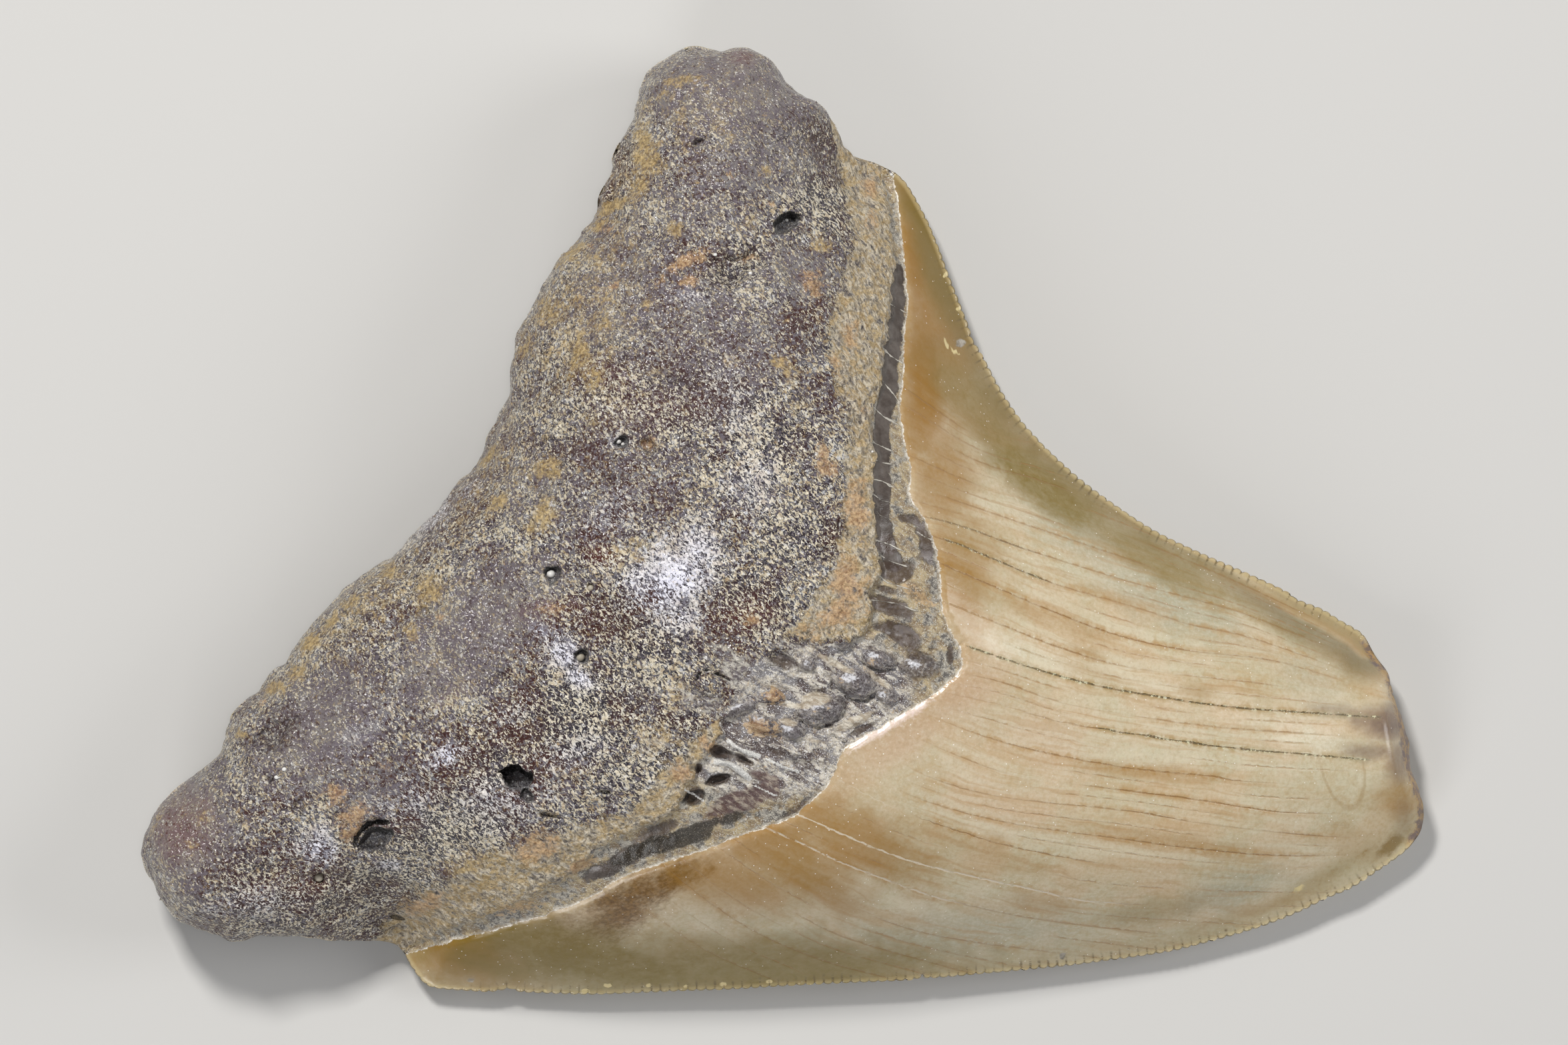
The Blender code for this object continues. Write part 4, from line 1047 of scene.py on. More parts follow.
REDDISH = [
    (-3.4, 37.6, 1.4, 0.8, 0, 0.9), (-48.5, -24.5, 2.6, 3.4, 0, 0.9), (-47, -22.6, 1.2, 0.6, 0, 0.8),
    (-14.4, -2.7, 1.8, 1, -10, 1), (-19, -7, 3, 1.2, 10, 0.6), (-2.6, -7.4, 3, 1.6, -10, 0.7),
    (-14, 11.8, 3, 1.4, -20, 0.7), (-26.5, -14, 2.4, 0.8, 35, 0.5), (-11, 9, 5, 2, 0, 0.5),
    (-40, -29, 5, 1.2, 0, 0.4), (-1.4, -21.4, 1.8, 0.7, -15, 0.8), (-4.2, -23.4, 2.2, 0.8, 20, 0.8),
    (6.8, -11, 1, 0.6, 0, 0.8), (4.9, -12.4, 0.9, 0.9, 0, 0.6), (8.1, -13.9, 0.9, 0.6, 0, 0.5),
]
ASHY = [
    (-2.6, -12.4, 4, 1.9, -38, 1), (-6.4, -14.4, 3, 1.3, -20, 0.8), (-3.6, -15.6, 1.6, 1.6, 0, 0.9),
    (-11, -13.2, 2.4, 1, -30, 0.5), (1.4, -9.9, 2.4, 0.8, -10, 0.7), (-10.5, -17.6, 2.6, 1.2, 15, 0.5),
    (-8.4, -19.2, 1.8, 1, 0, 0.5),
]
# The fibrous strip starts here and ends at the band
STRIP_EDGE = [
    (4.4, 29.6), (5, 27), (5.4, 24), (5.2, 21), (4.4, 18.5), (3.8, 16), (3.5, 13.6), (4, 11.5), (4.6, 9.5),
    (4.9, 7), (4.9, 4), (4.8, 1), (4.3, -2), (3.4, -4.5), (1.6, -7), (-0.4, -9.2),
]
LOWER_STRIP_EDGE = [
    (-6.4, -16.6), (-8.6, -18.6), (-10.8, -21.6), (-14, -23.6), (-17.5, -24.6), (-21, -25.8), (-24.5, -27),
    (-27.5, -29.2), (-30.2, -30.6), (-32.4, -33),
]
WIDE_HOLLOW = 1.8
DEEP_CRACK = 0.5


def beyond(edge, width):
    """A mask that rises over a width on the crown's side of a line, close to it only."""
    line = curve_through(edge, 0.5)
    away, travel = nearest(line, spots)
    run = np.gradient(line, axis=0)
    number = np.clip(np.searchsorted(np.linspace(0, travel.max(), len(line)), travel), 0, len(line) - 1)
    apart = spots - line[number]
    side = run[number, 0] * apart[:, 1] - run[number, 1] * apart[:, 0]
    signed = np.where(side > 0, away, -away)
    return ease(-width, width, signed + 0.5 * layered(spots, 2.2, 76)) * (away < 7.0)


tan = beyond(STRIP_EDGE, 1.0) * ease(-10.5, -8.0, spots[:, 1])
tan = np.maximum(tan, beyond(LOWER_STRIP_EDGE, 1.2) * ease(3.5, 6.5, -spots[:, 0]))
tan *= ease(-0.4, 0.1, from_root) * ~on_outer

hole_floor = np.zeros(len(spots))
# Painted shadow: dark on the upper side of each small hole, and along the deeper cracks
hole_shade = np.zeros(len(spots))
wobble = wobbles(spots)
for x, y, half_length, half_width, turn, depth, flat in HOLLOWS:
    if half_length < WIDEST_HOLE and half_width < WIDEST_HOLE:
        share = ellipse_share(spots, x, y, half_length, half_width, turn) * wobble
        lower = ellipse_share(spots, x + 0.12, y - 0.5 * half_width, half_length, half_width, turn) * wobble
        weight = ease(0.4, 1.2, depth)
        wide = max(half_length, half_width) > WIDE_HOLLOW
        hole_floor = np.maximum(hole_floor, weight * (0.4 if wide else 1.0) * (1.0 - ease(0.7, 1.1, share)))
        shaded = weight * (0.35 if wide else 1.0) * (1.0 - ease(0.9, 1.1, share)) * ease(0.8, 1.05, lower)
        hole_shade = np.maximum(hole_shade, shaded)
for points, half_width, height in RIDGES:
    if height < 0:
        away = nearest(curve_through(points, CRACK_STEP), spots)[0]
        strength = 1.0 if -height > DEEP_CRACK else 0.45
        hole_shade = np.maximum(hole_shade, strength * (1.0 - ease(0.2, 0.9, away / half_width)))

# Each mask: how ragged its patches are, a seed, and the shares of them where it starts and ends to fade
for name, table, *how in (
    ("ochre", OCHRE, 0.5, 71, 0.0, 2.0), ("orange", ORANGE, 0.5, 72, 0.0, 1.8),
    ("glint", GLINT, 0.4, 73, 0.0, 1.8), ("dark", DARK, 0.3, 74, 0.2, 1.4),
    ("reddish", REDDISH, 0.3, 77, 0.35, 1.35), ("ashy", ASHY, 0.4, 78, 0.1, 1.6),
):
    paint(name, patches(table, *how))
paint("veil", patches(VEIL, 0.25, 75, 0.3, 1.4) + 0.5 * on_outer)
paint("tan", tan)
paint("hole_floor", hole_floor * ~on_outer)
paint("hole_shade", hole_shade * ~on_outer)

MAROON_BONE = (0.055, 0.021, 0.018)
VIOLET_BONE = (0.03, 0.025, 0.034)
VEILED_BONE = (0.1, 0.075, 0.075)
REDDISH_BONE = (0.085, 0.025, 0.018)
GREY_FILM = (0.13, 0.11, 0.13)
PALE_FILM = (0.18, 0.18, 0.2)
MAUVE_FILM = (0.165, 0.135, 0.145)
TAN_FILM = (0.23, 0.19, 0.17)
REDDISH_FILM = (0.2, 0.1, 0.085)
PAINTED_SHEEN_FILM = (0.36, 0.36, 0.44)
TAN_CRUMB = (0.38, 0.29, 0.18)
CREAM_CRUMB = (0.64, 0.57, 0.43)
GREY_CRUMB = (0.52, 0.52, 0.54)
BRIGHT_CRUMB = (0.86, 0.8, 0.67)
DULL_CRUMB = (0.27, 0.22, 0.16)
VEILED_CRUMB = (0.38, 0.345, 0.3)
PAINTED_GLINT_CRUMB = (0.82, 0.82, 0.94)
PAINTED_GLINT_DOT = (0.78, 0.76, 0.72)
DARK_CLAY = (0.27, 0.175, 0.06)
OCHRE_CLAY = (0.6, 0.44, 0.2)
THIN_CLAY = (0.38, 0.28, 0.15)
BROWN_STRAW = (0.27, 0.22, 0.15)
PALE_STRAW = (0.66, 0.58, 0.44)
BROWN_EARTH = (0.33, 0.23, 0.1)
YELLOW_EARTH = (0.6, 0.46, 0.25)
DARK_FLECK = (0.13, 0.12, 0.12)
BLACK_GAP = (0.07, 0.06, 0.062)
GREY_FIBRE = (0.33, 0.3, 0.27)
DARK_RUST = (0.29, 0.155, 0.075)
PALE_RUST = (0.62, 0.42, 0.23)
GREY_CRUST = (0.16, 0.14, 0.145)
PALE_CRUST = (0.56, 0.53, 0.47)
PIT_GREY = (0.14, 0.14, 0.15)
PIT_PALE = (0.3, 0.31, 0.34)
PIT_DARK = (0.05, 0.043, 0.043)
CRYSTAL = (0.75, 0.74, 0.7)
PAINTED_HOLE_SHADOW = (0.008, 0.007, 0.007)


def worn_bone(place, dark, veil, glint, reddish):
    """Colour of the worn bone with its painted highlights and glint dots, its mask of crumbs, and two of the
    noises it is made of.
    """
    broad = place.noise(6.0, 3.0, 0.6)
    drift = place.noise(1.6, 4.0, 0.65)
    fine = place.noise(0.11, 2.0, 0.6)
    grit = place.stretched(-48.0, 1.7).noise(0.21, 2.0, 0.6, 0.8)
    tone = place.shifted((5.0, 0.0, 9.0)).noise(0.5, 3.0, 0.7)
    cover = 0.24 * (drift - 0.5) + 0.3 * (broad - 0.5) + 0.05 * glint - 0.02 * dark - 0.05 * veil
    crumbs = (grit.frayed(fine, 0.35) + cover).step(0.49, 0.57)
    film = place.shifted((7.0, 3.0, 0.0)).noise(0.33, 4.0, 0.65, 0.4)
    film = (film + 0.12 * veil - 0.1 * dark).frayed(broad, 0.2).step(0.45, 0.57)
    matrix = broad.between(MAROON_BONE, VIOLET_BONE)
    matrix = (veil * 0.6).mix(matrix, VEILED_BONE)
    matrix = (reddish * 0.9).mix(matrix, REDDISH_BONE)
    skin = drift.between(GREY_FILM, PALE_FILM, 0.4, 0.62)
    skin = (veil * 0.6).mix(skin, drift.between(MAUVE_FILM, TAN_FILM, 0.42, 0.58))
    skin = (reddish * 0.5).mix(skin, REDDISH_FILM)
    # Painted highlight: the film turns bluish-white in the glint zones
    skin = (glint * 0.6).mix(skin, PAINTED_SHEEN_FILM)
    pale = tone.between(TAN_CRUMB, CREAM_CRUMB, 0.38, 0.5)
    pale = (tone.step(0.53, 0.64) * (1.0 - 0.5 * dark)).mix(pale, GREY_CRUMB)
    pale = (dark * 0.35).mix(pale, BRIGHT_CRUMB)
    pale = (veil * 0.6).mix(pale, tone.between(DULL_CRUMB, VEILED_CRUMB))
    # Painted highlight: the crumbs turn bluish-white in the glint zones
    pale = glint.mix(pale, PAINTED_GLINT_CRUMB)
    colour = crumbs.mix(film.mix(matrix, skin), pale)
    # Painted glints: small bright dots that stand in for the light's sparkle on the glossy bone
    glint_dots = place.warped(0.4, 0.2).cells(0.42)
    colour = ((0.08 + 0.22 * drift - glint_dots).step(0.0, 0.08) * 0.85).mix(colour, PAINTED_GLINT_DOT)
    return colour, crumbs, fine, drift


def stains_on(colour, place, ochre, orange, tan):
    """Clay and rust over the bone's colour, and the masks of what they cover."""
    ragged = place.shifted((1.0, 5.0, 2.0)).noise(0.8, 5.0, 0.7, 0.3)
    flecks = place.shifted((9.0, 2.0, 4.0)).noise(0.3, 4.0, 0.65)
    clay = (ochre * 0.34 + ragged * 0.75 + flecks * 0.4).step(0.63, 0.92)
    colour = (clay * 0.85).mix(colour, flecks.between(DARK_CLAY, OCHRE_CLAY))
    colour = ((ragged * 0.6 + flecks * 0.4).step(0.57, 0.66) * 0.35).mix(colour, THIN_CLAY)
    fibres = place.warped(1.0, 0.5).stretched(-58.0, 2.0).noise(0.38, 4.0, 0.65, 0.7)
    strip = (tan * 0.36 + fibres * 0.5 + ragged * 0.5).step(0.6, 0.76)
    straw = fibres.between(BROWN_STRAW, PALE_STRAW, 0.42, 0.58)
    straw = ragged.between(straw, flecks.between(BROWN_EARTH, YELLOW_EARTH), 0.46, 0.58)
    straw = flecks.between(straw, DARK_FLECK, 0.57, 0.66)
    straw = ragged.between(straw, fibres.between(BLACK_GAP, GREY_FIBRE, 0.45, 0.6), 0.44, 0.34)
    colour = (strip * 0.85).mix(colour, straw)
    rust = (orange * 0.3 + ragged * 0.5 + flecks * 0.35 + fibres * 0.3).step(0.64, 0.82)
    colour = (rust * 0.8).mix(colour, flecks.between(DARK_RUST, PALE_RUST, 0.38, 0.62))
    return colour, clay, strip, fibres


start, shader, place = new_finish("root_bone")
ochre, orange, glint, dark, veil, reddish = painted(start, "ochre orange glint dark veil reddish")
tan_mask, ashy, hole, shade = painted(start, "tan ashy hole_floor hole_shade")
colour, crumbs, fine, drift = worn_bone(place, dark, veil, glint, reddish)
colour, clay, strip, fibres = stains_on(colour, place, ochre, orange, tan_mask)
threads = place.warped(1.0, 0.5).stretched(-28.0, 2.4).noise(0.4, 4.0, 0.65, 0.5)
crust = ashy.frayed(threads, 1.2).frayed(drift, 0.5).step(0.3, 0.9) * 0.85
colour = crust.mix(colour, threads.between(GREY_CRUST, PALE_CRUST, 0.46, 0.58))
pit_floor = fine.between(PIT_DARK, drift.between(PIT_GREY, PIT_PALE), 0.35, 0.65)
colour = (hole.frayed(drift, 0.8).step(0.3, 0.7) * 0.8).mix(colour, pit_floor)
crystals = place.shifted((6.0, 1.0, 3.0)).cells(0.45)
colour = (crystals.step(0.22, 0.14) * hole).mix(colour, CRYSTAL)
# Painted shadow in the holes and cracks
colour = (shade.frayed(fine, 0.5).step(0.35, 0.7) * 0.92).mix(colour, PAINTED_HOLE_SHADOW)
roughness = 0.12 + 0.16 * crumbs + 0.35 * clay + 0.35 * strip + 0.06 * fine - 0.03 * glint
dents = place.shifted((0.0, 4.0, 4.0)).noise(0.42, 1.0, 0.4)
height = dents * 2.4 + crumbs * 0.35 * (1.0 - strip) + fine * 0.15 + strip * fibres * 1.6 + drift * 1.2
ROOT_BUMP = 0.00014
dress(shader, colour, roughness, height, ROOT_BUMP)

# The band between root and crown: a smooth dark groove beside the root with thin white cracks across it,
# then a pale speckled strip, and below the crown's peak glossy lumps between cream fibres. The lumps
# carry painted highlights on their upper-left sides, and painted shadow darkens holes and cracks.
BAND_CRACKS = [
    [(7.6, 18.4), (8.6, 17.6), (9.6, 17.1)], [(7.9, 14), (8.7, 13.3), (9.4, 12.9)],
    [(7.6, 11.7), (8.3, 10.9), (8.9, 10.1)], [(7.2, 9.2), (8.1, 8.4), (8.9, 8)],
    [(6.5, 7.1), (7.1, 6.4), (7.9, 6), (8.4, 5.8)], [(7, 5.3), (7.6, 4.8), (8.3, 4.7)],
    [(7.3, 3.4), (7.9, 3.3), (8.4, 3)], [(7.2, 2.2), (7.9, 1.7), (8.5, 1.6)],
    [(7.1, 0.9), (7.7, 0.5), (8.2, 0.15), (8.8, 0.1)], [(10.2, -0.3), (10.9, -0.9), (11.7, -1.3)],
    [(7.5, -1.5), (8.2, -1.6), (8.8, -2), (9.5, -2.3)], [(7.5, -2.5), (8.2, -2.9), (8.8, -3.3), (9.5, -3.4)],
    [(7.2, -3.9), (7.8, -4.6), (9.6, -5.2)], [(7.3, -6.2), (8.5, -6.3), (9.6, -6.7), (10.4, -7)],
]
GROOVE = [
    (9.3, 20.3), (9.15, 18), (8.9, 15.5), (8.6, 13), (8.4, 10.5), (7.9, 8), (7.75, 6), (7.8, 3.5), (7.8, 1),
    (8.1, -1.3), (8.7, -3.2),
]
LOWER_GROOVE = [
    (-15.5, -28.3), (-12, -26.6), (-9, -25.4),
]
SLATE = [
    (8.5, -3.8, 1.9, 1, -15, 1), (8.5, -6.7, 1.9, 0.8, -15, 1), (9.2, -8.9, 2.5, 0.9, -27, 1),
    (13.3, -10.6, 0.4, 1.2, 0, 0.9), (8.2, -1.9, 1.2, 0.9, -30, 1), (8.2, -5.4, 1.2, 0.4, -15, 0.7),
    (10.6, -10.6, 1.4, 0.6, -20, 0.7), (7.4, -12.3, 0.5, 0.5, 0, 0.6), (0.2, -11, 1.5, 0.5, -25, 0.6),
    (-5, -18.3, 1.1, 0.5, -15, 1), (-3.2, -18.9, 0.9, 0.3, -25, 1), (-7, -19.6, 0.6, 0.5, 0, 1),
    (-5.2, -20.5, 1.3, 0.5, 15, 1), (-7.2, -22, 1.1, 0.8, 20, 1), (-10, -24.6, 2.6, 0.7, 25, 0.8),
    (1, -23, 3, 0.5, 33, 0.7), (6.2, -16.5, 1.6, 0.3, 27, 0.9), (-0.4, -18.3, 1.4, 0.3, -15, 0.7),
    (2.6, -19.6, 1.8, 0.8, 40, 0.4), (11.6, -1.1, 1.6, 0.7, -70, 0.9), (-0.3, -10.9, 1.3, 0.7, -25, 0.8),
    (-12.5, -26.6, 2.6, 0.7, 28, 0.9), (1, -18.9, 2.4, 0.7, -25, 0.5), (9.4, -11.4, 0.8, 0.5, 0, 0.5),
]
# Worn maroon bone that shows through the band below its white folds
MAROON = [
    (-3.4, -22.2, 3.4, 1.1, 20, 1), (-1.5, -20.4, 2.2, 0.6, -20, 0.8), (-5.6, -24, 2.6, 0.6, 22, 0.6),
]
OLD_OIL = [
    (-7.4, -24.9, 2.8, 0.8, 24, 1), (-11.5, -26.2, 2.6, 0.7, 26, 0.9), (-4.2, -23.6, 1.6, 0.5, 24, 0.6),
]
CREAM = [
    (2.6, -14.1, 1.4, 0.7, 5, 1), (5.6, -15.9, 2, 0.6, 25, 0.9), (0.3, -15.9, 0.8, 0.4, -20, 0.8),
    (-1, -12.9, 2.2, 0.7, -20, 0.5), (4, -11.2, 2.4, 0.35, -28, 0.8), (7.4, -12.4, 1.6, 0.35, -40, 0.8),
    (1.2, -14.6, 2, 0.35, -5, 0.7), (9.6, -13.2, 1.4, 0.5, 20, 0.4), (-7.4, -21.5, 1, 0.35, -40, 0.6),
    (2.5, -17.4, 1.2, 0.3, -10, 0.6), (-9.5, -22.5, 1.2, 0.8, 30, 0.6),
]
PEAK_PLACE = (1.0, -15.5, 10.5, 6.5, 20.0)
WHITE_RIDGES = 5
GLOSSY_LUMPS = 12


def near_line(points, step, low, high, waviness=0.0, size=1.0, seed=0):
    """A mask along a line, 1 as far from it as low and 0 beyond high, with a wavy edge."""
    away = nearest(curve_through(points, step), spots)[0]
    if waviness:
        away = away + waviness * waves(spots, size, seed)
    return 1.0 - ease(low, high, away)


crack_share = np.zeros(len(spots))
for points in BAND_CRACKS:
    crack_share = np.maximum(crack_share, near_line(points, 0.3, 0.15, 0.5))
groove = near_line(GROOVE, 0.5, 0.35, 1.0, 0.2, 1.0, 81)
groove = np.maximum(groove, 0.75 * near_line(LOWER_GROOVE, 0.5, 0.2, 1.1, 0.4, 1.2, 82))
white_ridge = np.zeros(len(spots))
for points, half_width, height in RIDGES[:WHITE_RIDGES]:
    white_ridge = np.maximum(white_ridge, near_line(points, CRACK_STEP, 0.45 * half_width, 1.3 * half_width))
knob = np.zeros(len(spots))
# Painted highlights: a pale patch on the upper-left side of each glossy lump, where the light catches it
knob_shine = np.zeros(len(spots))
for x, y, half_length, half_width, turn, height in LUMPS[:GLOSSY_LUMPS]:
    share = ellipse_share(spots, x, y, half_length, half_width, turn) * wobble
    knob = np.maximum(knob, 1.0 - ease(0.7, 1.05, share))
    lit = (x - 0.3 * half_length, y + 0.3 * half_width, 0.7 * half_length, 0.6 * half_width, turn)
    knob_shine = np.maximum(knob_shine, 1.0 - ease(0.2, 1.1, ellipse_share(spots, *lit) * wobble))


def below(points, spots):
    """Distance below a line that is drawn on past both its ends, negative above it."""
    line = curve_through(points, 1.5)
    first = line[0] - (line[1] - line[0]) * 60.0
    last = line[-1] + (line[-1] - line[-2]) * 60.0
    line = np.concatenate([[first], line, [last]])
    best = np.full(len(spots), np.inf)
    found = np.zeros(len(spots))
    for a, r in zip(line[:-1], np.diff(line, axis=0)):
        away = spots - a
        t = np.clip((away @ r) / (r @ r), 0.0, 1.0)
        apart = np.hypot(away[:, 0] - t * r[0], away[:, 1] - t * r[1])
        closer = apart < best
        found[closer] = (apart * np.sign(r[1] * away[:, 0] - r[0] * away[:, 1]))[closer]
        best[closer] = apart[closer]
    return found


def count_down(lines, spots):
    """Counts lines from the top: whole numbers on the lines, parts between them. Also their spacing."""
    depths = np.array([below(points, spots) for points in lines])
    passed = np.minimum.accumulate(np.where(depths > 0, 1, 0), axis=0).sum(axis=0)
    upper = np.clip(passed - 1, 0, len(lines) - 2)
    rows = np.arange(len(spots))
    gap = np.maximum(depths[upper, rows] - depths[upper + 1, rows], 0.3)
    return np.clip(upper + depths[upper, rows] / gap, -4.0, len(lines) + 4.0), gap


beside_lip = ease(0.2, 0.45, from_enamel) * (1.0 - ease(0.9, 1.7, from_enamel + 0.6 * waves(spots, 1.0, 85)))
beside_lip *= ease(-4.5, -2.5, spots[:, 1]) * (1.0 - ease(0.2, 1.2, spots[:, 1])) * ~on_outer
band_count, band_gap = count_down(BAND_CRACKS, spots)
for name, mask in (
    ("band_count", band_count), ("band_gap", band_gap), ("crack_share", crack_share),
    ("groove", groove * ~on_outer), ("slate", np.maximum(patches(SLATE, 0.45, 83, 0.4, 1.4), beside_lip)),
    ("maroon", patches(MAROON, 0.4, 86, 0.4, 1.4)), ("oily", patches(OLD_OIL, 0.4, 87, 0.4, 1.4)),
    ("cream", patches(CREAM, 0.25, 84, 0.3, 1.3)), ("white_ridge", white_ridge * ~on_outer),
    ("knob", knob * ~on_outer), ("knob_shine", knob_shine * ~on_outer),
    ("peak", (1.0 - ease(0.6, 1.2, ellipse_share(spots, *PEAK_PLACE))) * ~on_outer),
    ("enamel_mm", np.where(on_outer, from_outer, from_enamel)),
):
    paint(name, mask)

SPECKLE_DARK = (0.12, 0.11, 0.1)
SPECKLE_PALE = (0.42, 0.39, 0.33)
STRAND_BROWN = (0.24, 0.165, 0.085)
STRAND_TAN = (0.5, 0.4, 0.23)
FINE_GRAIN = (0.62, 0.59, 0.52)
RUBBLE_BROWN = (0.1, 0.075, 0.07)
RUBBLE_GREY = (0.23, 0.22, 0.225)
FOLD_GREY = (0.3, 0.27, 0.24)
FOLD_CREAM = (0.66, 0.61, 0.52)
RUBBLE_GAP = (0.055, 0.045, 0.048)
RUBBLE_STRAND = (0.7, 0.66, 0.58)
RUBBLE_GLINT = (0.85, 0.85, 0.88)
KNOB_DARK = (0.075, 0.06, 0.062)
KNOB_GREY = (0.3, 0.28, 0.28)
PAINTED_KNOB_HIGHLIGHT = (0.74, 0.74, 0.78)
FIBRE_BROWN = (0.42, 0.34, 0.24)
FIBRE_CREAM = (0.7, 0.64, 0.53)
EARTH_DARK = (0.32, 0.17, 0.07)
EARTH_PALE = (0.55, 0.38, 0.2)
GROOVE_DARK = (0.06, 0.046, 0.038)
GROOVE_GREY = (0.125, 0.105, 0.092)
SLATE_BROWN = (0.075, 0.052, 0.04)
SLATE_GREY = (0.17, 0.145, 0.14)
OLD_MAROON = (0.09, 0.045, 0.042)
OLD_TAN = (0.36, 0.3, 0.24)
OILY_BLACK = (0.03, 0.024, 0.016)
OILY_GREY = (0.22, 0.19, 0.15)
PAINTED_BAND_SHADOW = (0.016, 0.014, 0.014)
BAND_CRACK = (0.6, 0.57, 0.5)
CHALK_GREY = (0.5, 0.49, 0.46)
CHALK_WHITE = (0.84, 0.83, 0.8)
LIP_CRUST = (0.3, 0.25, 0.18)
LIP_CRUST_PALE = (0.7, 0.66, 0.58)
start, shader, place = new_finish("bourlette")
orange, reddish, shade = painted(start, "orange reddish hole_shade")
groove, slate, cream, ridge, knob = painted(start, "groove slate cream white_ridge knob")
maroon, oily, knob_shine, peak, enamel_mm = painted(start, "maroon oily knob_shine peak enamel_mm")
band_count, band_gap, crack_share = painted(start, "band_count band_gap crack_share")
# The lumps take the bone's painted highlight colours, through its glint mask
bone, _, fine, drift = worn_bone(place, knob * 0.6, peak * 0.2, knob * 0.7, reddish)
speckle = place.noise(0.4, 4.0, 0.65, 0.5)
strands = place.stretched(-32.0, 3.0).noise(0.45, 4.0, 0.65, 0.5)
patchy = place.shifted((2.0, 6.0, 0.0)).noise(1.5, 3.0, 0.6)
folds = place.stretched(-28.0, 3.2).noise(0.8, 3.0, 0.6, 0.6)
scales = place.shifted((8.0, 0.0, 3.0)).noise(0.22, 2.0, 0.6)
pale = speckle.between(SPECKLE_DARK, SPECKLE_PALE)
pale = (patchy.step(0.42, 0.54) * 0.85).mix(pale, strands.between(STRAND_BROWN, STRAND_TAN))
pale = fine.between(pale, FINE_GRAIN, 0.56, 0.66)
rubble = patchy.between(RUBBLE_BROWN, RUBBLE_GREY, 0.42, 0.58)
rubble = folds.between(rubble, speckle.between(FOLD_GREY, FOLD_CREAM, 0.4, 0.56), 0.47, 0.56)
rubble = speckle.between(rubble, RUBBLE_GAP, 0.4, 0.32)
rubble = strands.between(rubble, RUBBLE_STRAND, 0.54, 0.62)
rubble = fine.between(rubble, RUBBLE_GLINT, 0.58, 0.66)
colour = (peak * 1.2).step(0.3, 0.8).mix(pale, (drift.step(0.4, 0.6) * 0.45).mix(rubble, bone))
colour = (knob * 0.75).mix(colour, (scales * 0.5 + speckle * 0.5).between(KNOB_DARK, KNOB_GREY, 0.47, 0.6))
# Painted highlight on the lumps
knob_highlight = knob_shine.frayed(scales, 1.6).frayed(speckle, 1.2).step(0.5, 1.1)
colour = (knob_highlight * 0.9).mix(colour, PAINTED_KNOB_HIGHLIGHT)
creamy = cream.frayed(speckle, 0.7).step(0.3, 0.7)
colour = (creamy * 0.85).mix(colour, strands.between(FIBRE_BROWN, FIBRE_CREAM))
earthy = (orange * 0.3 + reddish * 0.08 + speckle * 0.6 + strands * 0.4).step(0.58, 0.68)
colour = (earthy * 0.75).mix(colour, speckle.between(EARTH_DARK, EARTH_PALE))
glassy = groove.frayed(speckle, 0.9).frayed(strands, 0.9).step(0.35, 0.65)
colour = glassy.mix(colour, drift.between(GROOVE_DARK, GROOVE_GREY, 0.35, 0.65))
slaty = slate.frayed(speckle, 0.9).step(0.35, 0.8)
colour = (slaty * 0.9).mix(colour, drift.between(SLATE_BROWN, SLATE_GREY, 0.48, 0.62))
old_bone = maroon.frayed(speckle, 0.9).step(0.35, 0.8)
colour = (old_bone * 0.9).mix(colour, strands.between(OLD_MAROON, OLD_TAN, 0.45, 0.62))
dark_film = (oily * 1.3).frayed(speckle, 0.9).step(0.3, 0.75)
colour = (dark_film * 0.92).mix(colour, fine.between(OILY_BLACK, OILY_GREY, 0.56, 0.7))
# Painted shadow in the holes and cracks
colour = (shade.frayed(speckle, 0.5).step(0.25, 0.75) * 0.9).mix(colour, PAINTED_BAND_SHADOW)
line = (band_count + 0.5).maths("PINGPONG", 0.5) * band_gap
line = abs((0.5 * band_gap - line).frayed(place.noise(1.1, 3.0, 0.6), 0.35))
crack = line.step(0.07, 0.03) * crack_share
colour = (crack * 0.9).mix(colour, BAND_CRACK)
chalk = ridge.frayed(speckle, 0.8).step(0.45, 0.8)
colour = chalk.mix(colour, fine.between(CHALK_GREY, CHALK_WHITE, 0.3, 0.7))
crust = enamel_mm.frayed(speckle, 0.7).frayed(patchy, 0.6).step(0.2, 0.05)
colour = crust.mix(colour, speckle.between(LIP_CRUST, LIP_CRUST_PALE))
roughness = 0.18 + 0.3 * speckle - 0.12 * glassy - 0.1 * slaty - 0.18 * knob + 0.15 * crust
open_face = 1.0 - glassy.maths("MAXIMUM", slaty)
height = speckle * open_face + fine * 0.15 + scales * 1.2 * knob + crack * 0.7 + strands * 1.2 * open_face
height = height + folds * 3.0 * peak
BAND_BUMP = 0.00012
dress(shader, colour, roughness, height, BAND_BUMP)
